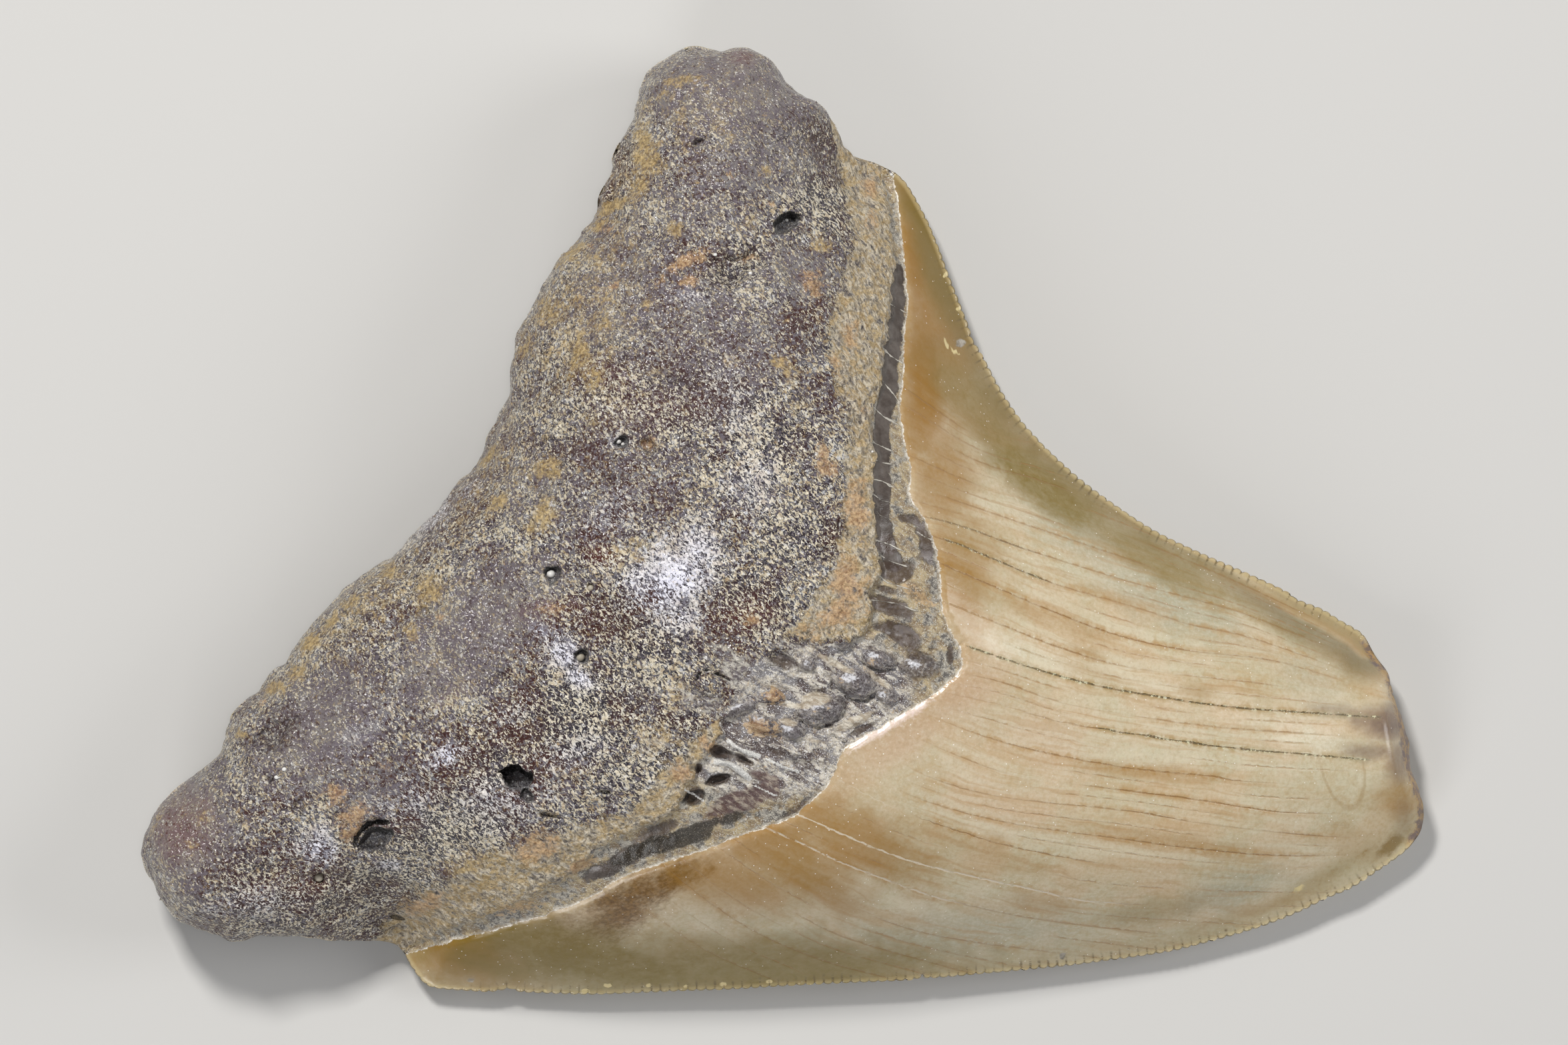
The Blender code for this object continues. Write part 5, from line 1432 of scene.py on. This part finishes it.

# The crown's enamel: a hard satin shell, cream in the middle and amber to olive towards its edges, with
# fine growth and crack lines that fan out from the root and run to the tip. The listed lines are given
# from the upper edge downwards; more run between them.
FAN = [
    [(10, 3), (17.5, 0.5), (28, -3), (38, -6.5), (48, -11)],
    [(11, 0.5), (13.5, -0.1), (16, -0.9), (19, -2), (28, -4.8), (38, -7.6), (48, -11.8)],
    [(12.3, -1.2), (14.2, -1.8), (17.5, -3.2), (22, -5), (28, -6.7), (33, -8.3), (38, -9.4), (48, -13)],
    [(12.8, -3.4), (17.5, -5.4), (22, -7.3), (27.2, -9.2), (33, -10.4), (40, -11.2), (48, -13.7)],
    [(13.2, -6.5), (17.5, -8.2), (22, -10), (28, -11.7), (38.5, -13), (46, -14.2), (50, -15)],
    [(14.3, -9.8), (17.5, -10.9), (22, -12.3), (25.6, -13.2), (30, -14), (36, -14.9), (44, -15.5),
     (49, -15.8)],
    [(13.8, -12), (17.5, -12.8), (22, -14.4), (27, -15.4), (36, -16.6), (48, -17.4)],
    [(11.5, -13.3), (17.5, -14.6), (22, -15.9), (28, -16.9), (35, -18), (42, -18.7), (48, -19.3)],
    [(9.5, -14.6), (17.5, -17.6), (27.2, -19.7), (34, -20.4), (38, -21), (48, -21.3)],
    [(8, -16), (17.5, -20), (25.6, -21.3), (33, -22.3), (40.8, -23.5), (49, -23.6)],
    [(6, -17.5), (12, -20.5), (17.5, -22), (28, -23.2), (34, -24.3), (44, -25.5), (49, -25.6)],
    [(4.5, -18.8), (10, -21.8), (17.5, -24), (28, -25.6), (33, -26.3), (40, -27), (49, -27)],
    [(3.8, -20.2), (8.2, -22.4), (12.7, -24.2), (19.2, -26.2), (30, -28.1), (42, -29), (48, -28.6)],
    [(1.5, -23.5), (4.5, -24.9), (8, -26.4), (11.5, -27.6), (20, -29.6), (26, -30.8), (42, -31.3)],
    [(-0.7, -24.7), (2, -25.9), (4.6, -27.2), (8.9, -28.9), (12.7, -30.3), (20, -32), (30, -33.4)],
    [(-3, -26), (0.8, -28.6), (5, -30.9), (12, -33.4), (22, -35)],
    [(-6, -27), (-3.1, -29.2), (0.8, -31.4), (5, -33.6), (12, -35.8)],
    [(-9, -28), (-6, -30.5), (-2, -33.2), (3, -35.5), (8, -37)],
    [(-13, -29.5), (-10, -32), (-6, -34.8), (-1, -37.2)], [(-18, -32), (-15, -34), (-11, -36.6), (-8, -38)],
    [(-25, -34.5), (-21, -36.2), (-17, -38)],
]
# Where single lines stand out: the line's number, from and to x, strength
DARK_LINES = [
    (5, 14.5, 49, 1), (7, 25, 48, 1), (1, 11, 21, 0.8), (2, 12.5, 22, 0.9), (3, 13, 40, 0.6),
    (4, 17, 30, 0.5), (9, 26, 46, 0.5), (10, 28, 48, 0.55), (11, 28, 41, 0.4), (12, 8, 24, 0.4),
    (8, 18, 40, 0.4), (6, 15, 26, 0.4),
]
WHITE_LINES = [
    (13, 1.2, 27, 1), (14, -0.9, 14, 0.9), (12, 3, 9, 0.4),
]


def along_lines(rows):
    """A mask beside single lines of the fan."""
    mask = np.zeros(len(spots))
    for row, low, high, strength in rows:
        near = np.abs(fan - row) < 0.5
        ends = ease(low - 1.0, low + 0.6, spots[:, 0]) * ease(-high - 1.5, 1.5 - high, -spots[:, 0])
        mask = np.maximum(mask, near * ends * strength)
    return mask


STAIN = [
    (-12.8, -31, 5, 1.7, 42, 0.9), (-17, -34, 4, 1.8, 40, 0.6), (-9, -28.8, 3, 1.2, 30, 0.9),
    (-18.5, -32.6, 3.5, 0.8, 20, 0.5), (-14, -30.4, 2, 0.8, 30, 0.9),
]
SPOTS = [
    (49.3, -26.3, 1.5, 0.7, 40, 1), (47.6, -26.4, 0.9, 0.3, 40, 0.6), (47.7, -10.8, 0.9, 0.5, -60, 0.9),
    (10.5, -33.5, 0.8, 0.5, -20, 0.5), (33, -31.8, 0.5, 0.4, 0, 0.5), (28.5, -31.6, 1.2, 0.6, 0, 0.4),
    (2.5, -35.2, 1.2, 0.5, -20, 0.5), (17.5, -2.9, 1, 0.35, -20, 0.8), (22, -3.2, 0.5, 0.5, 0, 0.5),
]
OLIVE = [
    (-3, -36, 16, 2.6, 0, 0.9), (-14, -36, 10, 2, -5, 1), (15, 10, 2, 5, 40, 0.6),
    (21, 3.2, 7, 1.8, -38, 0.9), (30, -3, 7, 1.3, -30, 0.7), (39.6, -8, 6, 0.8, -30, 0.4),
    (-24, -35.6, 5, 1.4, -12, 0.8), (44, -28.6, 4, 0.8, 28, 0.25), (-19, -34.6, 9, 2.6, -10, 0.9),
    (30, -31.5, 4, 1, 10, 0.4), (13, 20, 1.6, 4, 20, 0.7), (18, 6, 5, 1.6, -45, 0.7),
    (11.6, 24.5, 1.2, 3, 12, 0.7), (33, -4.3, 5, 0.9, -28, 0.4), (43.2, -9.8, 5, 0.6, -28, 0.25),
]
AMBER = [
    (12.6, 17, 2.6, 8, 8, 0.9), (11.6, 26, 1.8, 6, 8, 1), (46.5, -26, 3, 1.5, -20, 0.35),
    (10.9, 22, 1.4, 6, 5, 1), (11.4, 12, 1.8, 7, 0, 1), (13, 4, 2.4, 4, 0, 0.7), (14, -3, 3, 3, -30, 0.6),
    (16.5, 8.5, 2.2, 3.5, 40, 0.5), (0.5, -27, 7, 2.6, -35, 0.7), (33.4, -13.6, 1.6, 0.5, -10, 0.5),
    (-26, -35.2, 5, 2.2, -14, 0.9), (3, -24, 4, 1.6, -35, 0.6), (16, -26.5, 4, 0.8, -16, 0.25),
    (47, -12.5, 2.6, 1.6, -60, 0.35), (12.5, -25, 2, 1.2, -20, 0.25), (19, -6.8, 3.5, 0.7, -22, 0.3),
    (24, -8.6, 2, 0.7, -20, 0.35), (24.5, -12, 2.4, 0.6, -18, 0.3), (21, -30.8, 3, 0.7, -12, 0.35),
    (48.5, -24.5, 1.6, 3, 0, 0.3), (29, -20, 6, 0.6, -6, 0.4), (30, -25.4, 6, 0.6, -8, 0.4),
    (39, -31.4, 4.5, 0.4, 17, 0.35), (44.5, -28.5, 3.5, 0.6, 33, 0.25), (26, -5.8, 3, 0.5, -20, 0.3),
    (24.5, -10.5, 1.4, 0.4, -20, 0.5), (14.8, -5, 1.6, 3.4, 0, 0.6), (6, -25.5, 6, 2.4, -25, 0.7),
    (-4, -29, 6, 2.2, -10, 0.6), (50, -22.5, 1.6, 2.4, 0, 0.6), (17, -25.6, 1.2, 0.6, -20, 0.4),
    (12.6, 16, 1.6, 5, 5, 0.8),
]
PINK = [
    (13.5, -13.5, 5, 2.4, 20, 0.9), (9, -17.6, 5, 1.8, 28, 0.9), (20, -17.5, 6, 3, -15, 0.5),
    (-27, -36, 3.5, 1.2, -10, 0.7), (12, 9, 1.6, 3, 0, 0.3), (17, -22, 7, 3, -15, 0.4),
]
COOL = [
    (36.5, -29.6, 5, 1.6, 15, 1), (14, -33.2, 14, 2.2, 5, 0.8), (46, -18, 3, 0.8, -5, 0.3),
    (31, -6, 8, 2.6, -25, 1), (24, -1, 6, 2.2, -32, 0.9), (42.5, -12, 4, 2, -25, 0.6),
    (6, -31.5, 5, 1.2, -30, 0.4),
]
SHELL = [
    (13.2, 14.5, 0.3, 0.75, 25, 1), (13.9, 13.9, 0.6, 0.25, -20, 0.9), (13.2, 20.2, 0.5, 0.3, 50, 1),
    (14.2, 17.4, 0.35, 0.25, 50, 0.9), (-14.3, -37.7, 0.5, 0.3, 0, 1), (-16.2, -38.2, 0.4, 0.25, 0, 1),
    (-11, -37.7, 0.35, 0.25, 0, 0.9), (-5, -37.6, 0.4, 0.25, 0, 0.9), (-1.2, -37.4, 0.4, 0.25, 0, 0.9),
    (47.2, -26.7, 0.25, 0.2, 0, 0.9), (42, -29.8, 0.8, 0.4, 30, 0.8), (-19.5, -38.2, 0.3, 0.2, 0, 0.8),
    (-8, -37.8, 0.3, 0.2, 0, 0.8), (19, -6.4, 0.3, 0.2, 0, 0.6),
]
GLASS = [
    (14.4, 14.6, 0.7, 0.5, 20, 0.8), (22.7, -35.3, 0.35, 0.5, 0, 1), (-25.5, -37.3, 0.6, 0.3, 0, 0.6),
    (11.2, -36.9, 0.4, 0.2, 0, 0.6), (16, -36.6, 0.4, 0.2, 0, 0.6),
]
MAUVE = [
    (48.7, -16.4, 2.2, 1.3, -10, 1), (45.5, -15.3, 3, 0.5, -8, 0.5), (47.5, -18.6, 2.2, 0.6, 0, 0.7),
    (49.8, -19.4, 1, 1.6, 0, 0.7), (50.4, -24, 0.8, 2, 15, 0.3),
]
fan, fan_gap = count_down(FAN, spots)
# Painted highlight along the enamel's rounded lip below the peak, where the light catches it
lip_glow = ease(-1.1, -0.3, from_enamel) * (from_enamel <= 0) * ease(3.5, 6.5, spots[:, 0])
lip_glow *= (1.0 - ease(10.5, 13.0, spots[:, 0])) * (spots[:, 1] < -11.0) * ~on_outer
for name, mask in (
    ("fan", fan), ("fan_gap", fan_gap), ("line_dark", along_lines(DARK_LINES)),
    ("line_white", along_lines(WHITE_LINES)), ("line_start", 1.0 * ((fan > 12.5) | (fan < 4.5))),
    ("lip_glow", lip_glow), ("upper_mm", from_upper), ("lower_mm", from_lower), ("break_mm", from_break),
    ("between_beads", between_beads),
):
    paint(name, mask)
for name, table, *how in (
    ("mauve", MAUVE, 0.3, 99, 0.4, 1.6), ("stain", STAIN, 0.35, 91, 0.0, 1.9),
    ("brown_spot", SPOTS, 0.5, 96, 0.2, 1.5), ("olive", OLIVE, 0.25, 92, 0.4, 1.6),
    ("amber", AMBER, 0.3, 93, 0.35, 1.7), ("pink", PINK, 0.25, 95, 0.1, 1.5),
    ("cool", COOL, 0.3, 94, 0.1, 1.5), ("shell", SHELL, 0.3, 97, 0.5, 1.1),
    ("glass", GLASS, 0.4, 98, 0.3, 1.1),
):
    paint(name, patches(table, *how))

CREAM_ENAMEL = (0.64, 0.56, 0.4)
BUFF_ENAMEL = (0.6, 0.475, 0.31)
GREENISH_ENAMEL = (0.55, 0.51, 0.35)
COOL_ENAMEL = (0.4, 0.385, 0.28)
PINK_ENAMEL = (0.6, 0.44, 0.31)
BASE_BROWN = (0.45, 0.27, 0.12)
PEAK_TAN = (0.48, 0.35, 0.22)
GRAIN_BROWN = (0.36, 0.25, 0.13)
GRAIN_CREAM = (0.74, 0.68, 0.55)
STAIN_DARK = (0.1, 0.042, 0.004)
STAIN_BROWN = (0.2, 0.1, 0.02)
SPOT_BROWN = (0.18, 0.1, 0.02)
HALO_BROWN = (0.44, 0.25, 0.08)
STREAK_BROWN = (0.47, 0.28, 0.11)
STREAK_CREAM = (0.7, 0.63, 0.46)
THREAD_BROWN = (0.42, 0.24, 0.09)
MOTTLE_TAN = (0.46, 0.3, 0.12)
AMBER_BROWN = (0.31, 0.145, 0.004)
OLIVE_BROWN = (0.195, 0.13, 0.008)
MAUVE_BROWN = (0.2, 0.14, 0.105)
UPPER_BAND = (0.2, 0.145, 0.05)
TIP_BAND = (0.17, 0.14, 0.075)
LIP_EDGE = (0.34, 0.26, 0.13)
LIP_TAN = (0.36, 0.22, 0.085)
LOWER_BAND = (0.3, 0.25, 0.12)
THIN_LINE = (0.34, 0.18, 0.06)
BROWN_LINE = (0.27, 0.145, 0.05)
OLIVE_LINE = (0.3, 0.26, 0.12)
BLACK_LINE = (0.095, 0.075, 0.035)
CHALK_LINE = (0.72, 0.65, 0.52)
YELLOW_BEAD = (0.78, 0.74, 0.5)
BRIGHT_SPECK = (0.9, 0.87, 0.8)
PALE_SPECK = (0.82, 0.78, 0.68)
LOOP_BROWN = (0.33, 0.2, 0.07)
BREAK_DARK = (0.13, 0.09, 0.1)
BREAK_ORANGE = (0.4, 0.25, 0.1)
GLASS_DARK = (0.2, 0.18, 0.15)
GLASS_PALE = (0.5, 0.47, 0.42)
SHELL_YELLOW = (0.7, 0.58, 0.3)
BEAD_TIP = (0.62, 0.5, 0.27)
PAINTED_BEAD_GAP_SHADE = (0.14, 0.1, 0.045)
PAINTED_LIP_HIGHLIGHT = (0.98, 0.84, 0.82)
LIP_BROWN = (0.42, 0.32, 0.2)
LIP_WHITE = (0.8, 0.76, 0.68)
start, shader, place = new_finish("enamel")
axes = start.node("ShaderNodeSeparateXYZ", None, {0: place})
up = axes.also("Y")
fan, fan_gap, line_dark, line_white = painted(start, "fan fan_gap line_dark line_white")
line_mask, lip_glow = painted(start, "line_start lip_glow")
stain, olive, amber, cool, pink = painted(start, "stain olive amber cool pink")
upper_mm, lower_mm, break_mm, enamel_mm = painted(start, "upper_mm lower_mm break_mm enamel_mm")
brown_spot, shell, glass, gaps, mauve = painted(start, "brown_spot shell glass between_beads mauve")


def along_fan(across, along, detail, seed):
    """Noise drawn out along the fan's lines."""
    spot = start.node("ShaderNodeCombineXYZ", None, {0: across, 1: axes * along, 2: seed})
    return spot.noise(1.0, detail, 0.55)


cloud = place.noise(5.0, 3.0, 0.55)
mottle = place.noise(0.8, 4.0, 0.65, 0.4)
grain = place.noise(0.35, 4.0, 0.7)
wisps = place.stretched(47.0, 4.0).noise(0.35, 4.0, 0.65, 0.4)
bent = fan.frayed(place.noise(3.0, 2.0), 0.25).frayed(mottle, 0.1)
bands = along_fan(bent, 0.05, 3.0, 0.0)
streaks = along_fan(bent * 2.6, 0.09, 3.0, 7.0)
threads = along_fan(bent * 4.6, 0.12, 2.0, 19.0)

# The shell's broad colours and its stains
colour = bands.between(CREAM_ENAMEL, BUFF_ENAMEL)
colour = (cloud.step(0.42, 0.62) * 0.6).mix(colour, GREENISH_ENAMEL)
colour = (cool * 0.8).mix(colour, COOL_ENAMEL)
colour = (pink * 0.8).mix(colour, PINK_ENAMEL)
colour = (enamel_mm.step(-3.5, -0.3) * 0.3).mix(colour, BASE_BROWN)
near_peak = enamel_mm.frayed(cloud, 3.0).step(-9.0, -2.0) * up.step(-9.0, -16.0)
colour = (near_peak * 0.3).mix(colour, PEAK_TAN)
colour = (abs(grain - 0.5) * 1.6).mix(colour, grain.between(GRAIN_BROWN, GRAIN_CREAM, 0.45, 0.55))
blotch = stain.frayed(mottle, 0.5).frayed(wisps, 0.9).step(0.1, 0.95)
colour = (blotch * 0.92).mix(colour, grain.between(STAIN_DARK, STAIN_BROWN))
colour = (brown_spot.frayed(mottle, 1.2).step(0.25, 1.0) * 0.8).mix(colour, SPOT_BROWN)

# Lines on the whole counts of the fan, thinner ones on the halves, and a brown halo beside some of them
dashes = along_fan(fan.maths("ROUND") * 5.3, 0.07, 1.0, 3.0)
apart = abs((fan - fan.maths("ROUND")).frayed(mottle, 0.1)) * fan_gap
half_count = (fan + 0.5).maths("ROUND")
half_dashes = along_fan(half_count * 3.7, 0.09, 1.0, 11.0)
half_apart = abs((fan + 0.5 - half_count).frayed(mottle, 0.14)) * fan_gap
clear_start = (axes - 0.45 * up).step(17.0, 24.5)
within = axes.step(47.0, 41.0) * axes.step(-16.0, -2.0) * clear_start.maths("MAXIMUM", line_mask)
within = within * fan.step(-3.8, -3.0) * fan.step(24.8, 24.0)
halo = (apart - 0.3 * (mottle - 0.5)).step(0.5, 0.0)
halo = halo * (dashes.step(0.4, 0.56) + line_dark * 0.5) * mottle.step(0.36, 0.6) * within
colour = (halo * 0.5).mix(colour, HALO_BROWN)
fades = axes.step(46.0, 36.0) * axes.step(-8.0, 4.0) * within
colour = (streaks.step(0.5, 0.66) * fades * 0.28).mix(colour, STREAK_BROWN)
colour = (streaks.step(0.44, 0.32) * fades * 0.26).mix(colour, STREAK_CREAM)
colour = (threads.step(0.54, 0.66) * fades * 0.3).mix(colour, THREAD_BROWN)
colour = ((mottle * 0.6 + cloud * 0.4).step(0.52, 0.62) * 0.22).mix(colour, MOTTLE_TAN)
colour = (amber * (0.77 + 0.35 * streaks).frayed(mottle, 0.2)).mix(colour, AMBER_BROWN)
colour = (olive * (0.7 + 0.5 * mottle)).mix(colour, OLIVE_BROWN)
colour = (mauve * 0.9 + 0.5 * mauve * (mottle - 0.5)).mix(colour, MAUVE_BROWN)

# Dark bands inside both cutting edges, and the pale rim strip beside the tip
toward_tip = axes.step(32.0, 43.0)
inward = upper_mm - toward_tip * 1.35
upper_band = inward.step(-0.4, 0.3) * inward.step(2.7, 0.5)
colour = (upper_band * 0.7).mix(colour, toward_tip.mix(UPPER_BAND, TIP_BAND))
upper_lip = upper_mm.step(1.6, 0.9) * toward_tip
colour = (upper_lip * 0.85).mix(colour, upper_mm.between(LIP_EDGE, LIP_TAN, 0.5, 1.4))
colour = (lower_mm.step(3.0, 0.6) * 0.35).mix(colour, LOWER_BAND)

# The lines themselves, broken up and beaded
broken_up = (mottle * 0.6 + grain * 0.4).step(0.4, 0.56)
strong = line_dark.step(0.6, 1.0)
thin = half_apart.step(0.1, 0.02) * half_dashes.step(0.44, 0.54) * within * broken_up
colour = (thin * 0.5).mix(colour, THIN_LINE)
drawn = apart.step(0.09, 0.025) * (dashes.step(0.4, 0.5) * 0.5 + line_dark * 0.5)
drawn = drawn * within * (0.35 + 0.65 * broken_up)
colour = drawn.mix(colour, BROWN_LINE)
olive_halo = apart.step(0.4, 0.05) * line_dark.step(0.7, 1.0) * mottle.step(0.35, 0.6)
colour = (olive_halo * 0.4).mix(colour, OLIVE_LINE)
beaded = apart.step(0.1, 0.02) * strong * (grain * 0.6 + mottle * 0.4).step(0.43, 0.54)
colour = (beaded * 0.75).mix(colour, BLACK_LINE)
chalky = apart.step(0.11, 0.03) * line_white * mottle.step(0.36, 0.5)
colour = (chalky * 0.8).mix(colour, CHALK_LINE)
beads = apart.step(0.16, 0.06) * strong * grain.step(0.54, 0.59)
colour = (beads * 0.85).mix(colour, YELLOW_BEAD)

# Scattered specks, and a faint loop near the tip: its centre, slant and half width and length
clusters = (place.shifted((5.0, 5.0, 0.0)).noise(2.2, 2.0) + 0.12 * near_peak).step(0.5, 0.6)
colour = (place.cells(0.55).step(0.11, 0.06) * clusters).mix(colour, BRIGHT_SPECK)
colour = place.shifted((3.0, 8.0, 0.0)).cells(1.3).step(0.05, 0.03).mix(colour, PALE_SPECK)
LOOP_X = 41.24
LOOP_Y = -19.3
LOOP_SLANT = 0.2
LOOP_ACROSS = 0.56
LOOP_DOWN = 0.26
loop_across = (axes + LOOP_SLANT * up - LOOP_X) * LOOP_ACROSS
loop_down = (up - LOOP_Y) * LOOP_DOWN
loop = (loop_across * loop_across + loop_down * loop_down).maths("SQRT")
loop = abs((loop - 1.0).frayed(mottle, 0.1)).step(0.1, 0.02)
loop = loop * up.step(-18.8, -20.2) * axes.also("Z").step(2.5, 3.5)
colour = (loop * 0.32).mix(colour, LOOP_BROWN)

# The worn break, glassy chips, yellow shell crumbs, the serrations with painted shade between them, a
# painted highlight along the lip below the peak, and the lip beside the band
worn = break_mm.frayed(mottle, 1.0).step(0.75, 0.3)
colour = (worn * 0.8).mix(colour, mottle.between(BREAK_DARK, BREAK_ORANGE, 0.42, 0.58))
chipped = glass.frayed(mottle, 0.3).step(0.3, 0.6)
colour = (chipped * 0.85).mix(colour, mottle.between(GLASS_DARK, GLASS_PALE, 0.35, 0.65))
colour = shell.step(0.5, 0.8).mix(colour, SHELL_YELLOW)
edge_mm = upper_mm.maths("MINIMUM", lower_mm)
colour = (edge_mm.step(0.4, 0.1) * 0.4).mix(colour, BEAD_TIP)
# Painted shade in the grooves between the serrations
colour = (edge_mm.step(1.0, 0.35) * gaps.step(0.2, 0.65) * 0.8).mix(colour, PAINTED_BEAD_GAP_SHADE)
# Painted highlight along the lip
colour = (lip_glow.frayed(grain, 1.2).step(0.3, 1.1) * 0.55).mix(colour, PAINTED_LIP_HIGHLIGHT)
lip = enamel_mm.frayed(mottle, 0.35).frayed(grain, 0.3).step(-0.1, -0.03)
colour = lip.mix(colour, grain.between(LIP_BROWN, LIP_WHITE))
shader.inputs["Subsurface Weight"].default_value = 0.1
shader.inputs["Subsurface Scale"].default_value = 0.001
shader.inputs["Subsurface Radius"].default_value = (1.0, 0.6, 0.3)
roughness = 0.16 + 0.12 * mottle + 0.25 * worn + 0.1 * lip + 0.15 * beaded - 0.1 * glass
height = 0.25 * bands + 0.2 * cloud - 0.5 * beaded - 0.4 * drawn - 0.25 * thin + 0.1 * grain - 0.5 * glass
ENAMEL_BUMP = 0.00014
dress(shader, colour, roughness, height, ENAMEL_BUMP, 0.8)

# Each facet takes the finish of the side of the joint lines that it lies on. The materials were made in
# this order: root bone, band, enamel.
BONE, BAND, ENAMEL = range(3)
facet_enamel = from_enamel[faces].mean(axis=1)
facet_root = from_root[faces].mean(axis=1)
facet_outer = from_outer[faces].mean(axis=1)
upper_facet = np.arange(len(faces)) < len(in_faces)
upper_finish = np.where(facet_enamel < 0, ENAMEL, np.where(facet_root < 0, BAND, BONE))
finish_number = np.where(upper_facet, upper_finish, np.where(facet_outer < 0, ENAMEL, BONE))
mesh.polygons.foreach_set("material_index", finish_number.astype(np.int32))

# Sand grains: a few rounded quartz grains and duller ones, wedged in the root's holes since the tooth lay
# in the sea floor, and a bead of lime on the upper shoulder. Each: x, y, radius, and which of the two it is.
GRAINS = [
    (-18.6, -4.1, 0.36, 0), (-13.2, 6.45, 0.22, 0), (-12.85, 6.25, 0.16, 0), (-40.1, -19.8, 0.2, 0),
    (-40.75, -20.45, 0.2, 0), (-2.7, 19.9, 0.17, 0), (0.2, 24.3, 0.16, 0), (-37.5, -28.6, 0.42, 1),
    (-15.4, -5.2, 0.28, 1), (-16.25, -10.75, 0.38, 1), (8.75, 28.35, 0.14, 0), (-5.5, 21.4, 0.16, 0),
    (7.05, 5.65, 0.1, 0),
]
QUARTZ = (0.78, 0.77, 0.74)
OLD_SAND = (0.42, 0.38, 0.3)
GRAIN_UNEVENNESS = 0.22
GRAIN_SHAPE = (1.0, 0.85, 0.75)
GRAIN_RISE = 0.35
grain_points = []
grain_faces = []
grain_kinds = []
for number, (x, y, radius, kind) in enumerate(GRAINS):
    ball = bmesh.new()
    bmesh.ops.create_icosphere(ball, subdivisions=2, radius=radius)
    points = np.array([v.co for v in ball.verts])
    triangles = np.array([[v.index for v in f.verts] for f in ball.faces])
    ball.free()
    points *= 1.0 + GRAIN_UNEVENNESS * waves(points + 10.0 * number, radius * 1.1, 111)[:, None]
    points *= GRAIN_SHAPE
    near = np.hypot(*(body[:, :2] - (x, y)).T) + 9.0 * on_outer
    ground = body[near < max(0.3, near.min() + 0.01)][:, 2].mean()
    grain_faces.append(triangles + sum(len(p) for p in grain_points))
    grain_points.append(points + (x, y, ground + GRAIN_RISE * radius))
    grain_kinds += [kind] * len(triangles)
grain_mesh = bpy.data.meshes.new("sand_grains")
grain_mesh.from_pydata((np.concatenate(grain_points) * MM).tolist(), [], np.concatenate(grain_faces).tolist())


def plain_finish(owner, name, tone, gloss):
    """A material with one colour and one roughness."""
    finish = bpy.data.materials.new(name)
    finish.use_nodes = True
    inputs = finish.node_tree.nodes["Principled BSDF"].inputs
    inputs["Base Color"].default_value = (*tone, 1.0)
    inputs["Roughness"].default_value = gloss
    owner.materials.append(finish)


plain_finish(grain_mesh, "quartz", QUARTZ, 0.25)
plain_finish(grain_mesh, "old_sand", OLD_SAND, 0.5)
grain_mesh.polygons.foreach_set("material_index", np.array(grain_kinds, np.int32))
grain_mesh.shade_smooth()
grains = bpy.data.objects.new("sand_grains", grain_mesh)
bpy.context.scene.collection.objects.link(grains)
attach(grains, "root")

# Floor, lights and camera: a pale paper floor just under the tooth, one small key light with soft ones
# round it, and a camera that looks straight down. Each lamp: name, place, width, power, colour.
FLOOR_PALE = (0.6, 0.595, 0.58)
FLOOR_LEVEL = -0.0002
LAMPS = [
    ("key", (-0.2, 0.42, 0.62), 0.12, 4.75, (1.0, 0.98, 0.95)),
    ("over", (0.05, 0.0, 1.1), 0.09, 0.8, (1.0, 1.0, 1.0)),
    ("side", (0.68, 0.1, 0.42), 0.35, 2.1, (1.0, 1.0, 1.0)),
    ("low_fill", (-0.32, -0.62, 0.4), 0.35, 2.0, (0.99, 0.99, 1.0)),
]
SKY = (0.35, 0.35, 0.36, 1)
SKY_STRENGTH = 0.4
LENS = 200
SENSOR = 36
VIEW_WIDTH = 0.1272
SUBJECT_LEVEL = 0.006
scene = bpy.context.scene
floor_mesh = bpy.data.meshes.new("floor")
floor_mesh.from_pydata([(-3, -3, 0), (3, -3, 0), (3, 3, 0), (-3, 3, 0)], [], [(0, 1, 2, 3)])
floor = bpy.data.objects.new("floor", floor_mesh)
scene.collection.objects.link(floor)
floor.location.z = FLOOR_LEVEL
plain_finish(floor_mesh, "floor_paper", FLOOR_PALE, 0.9)
for name, at, width, power, tint in LAMPS:
    light = bpy.data.lights.new(name, "AREA")
    light.size = width
    light.energy = power
    light.color = tint
    lamp = bpy.data.objects.new(name, light)
    lamp.location = at
    lamp.rotation_euler = (-Vector(at)).to_track_quat("-Z", "Y").to_euler()
    scene.collection.objects.link(lamp)
world = bpy.data.worlds.new("soft")
world.use_nodes = True
world.node_tree.nodes["Background"].inputs["Color"].default_value = SKY
world.node_tree.nodes["Background"].inputs["Strength"].default_value = SKY_STRENGTH
scene.world = world
scene.view_settings.view_transform = "Standard"
camera_data = bpy.data.cameras.new("camera")
camera_data.lens = LENS
camera_data.sensor_width = SENSOR
camera = bpy.data.objects.new("camera", camera_data)
camera.location = (0, 0, SUBJECT_LEVEL + VIEW_WIDTH * LENS / SENSOR)
scene.collection.objects.link(camera)
scene.camera = camera
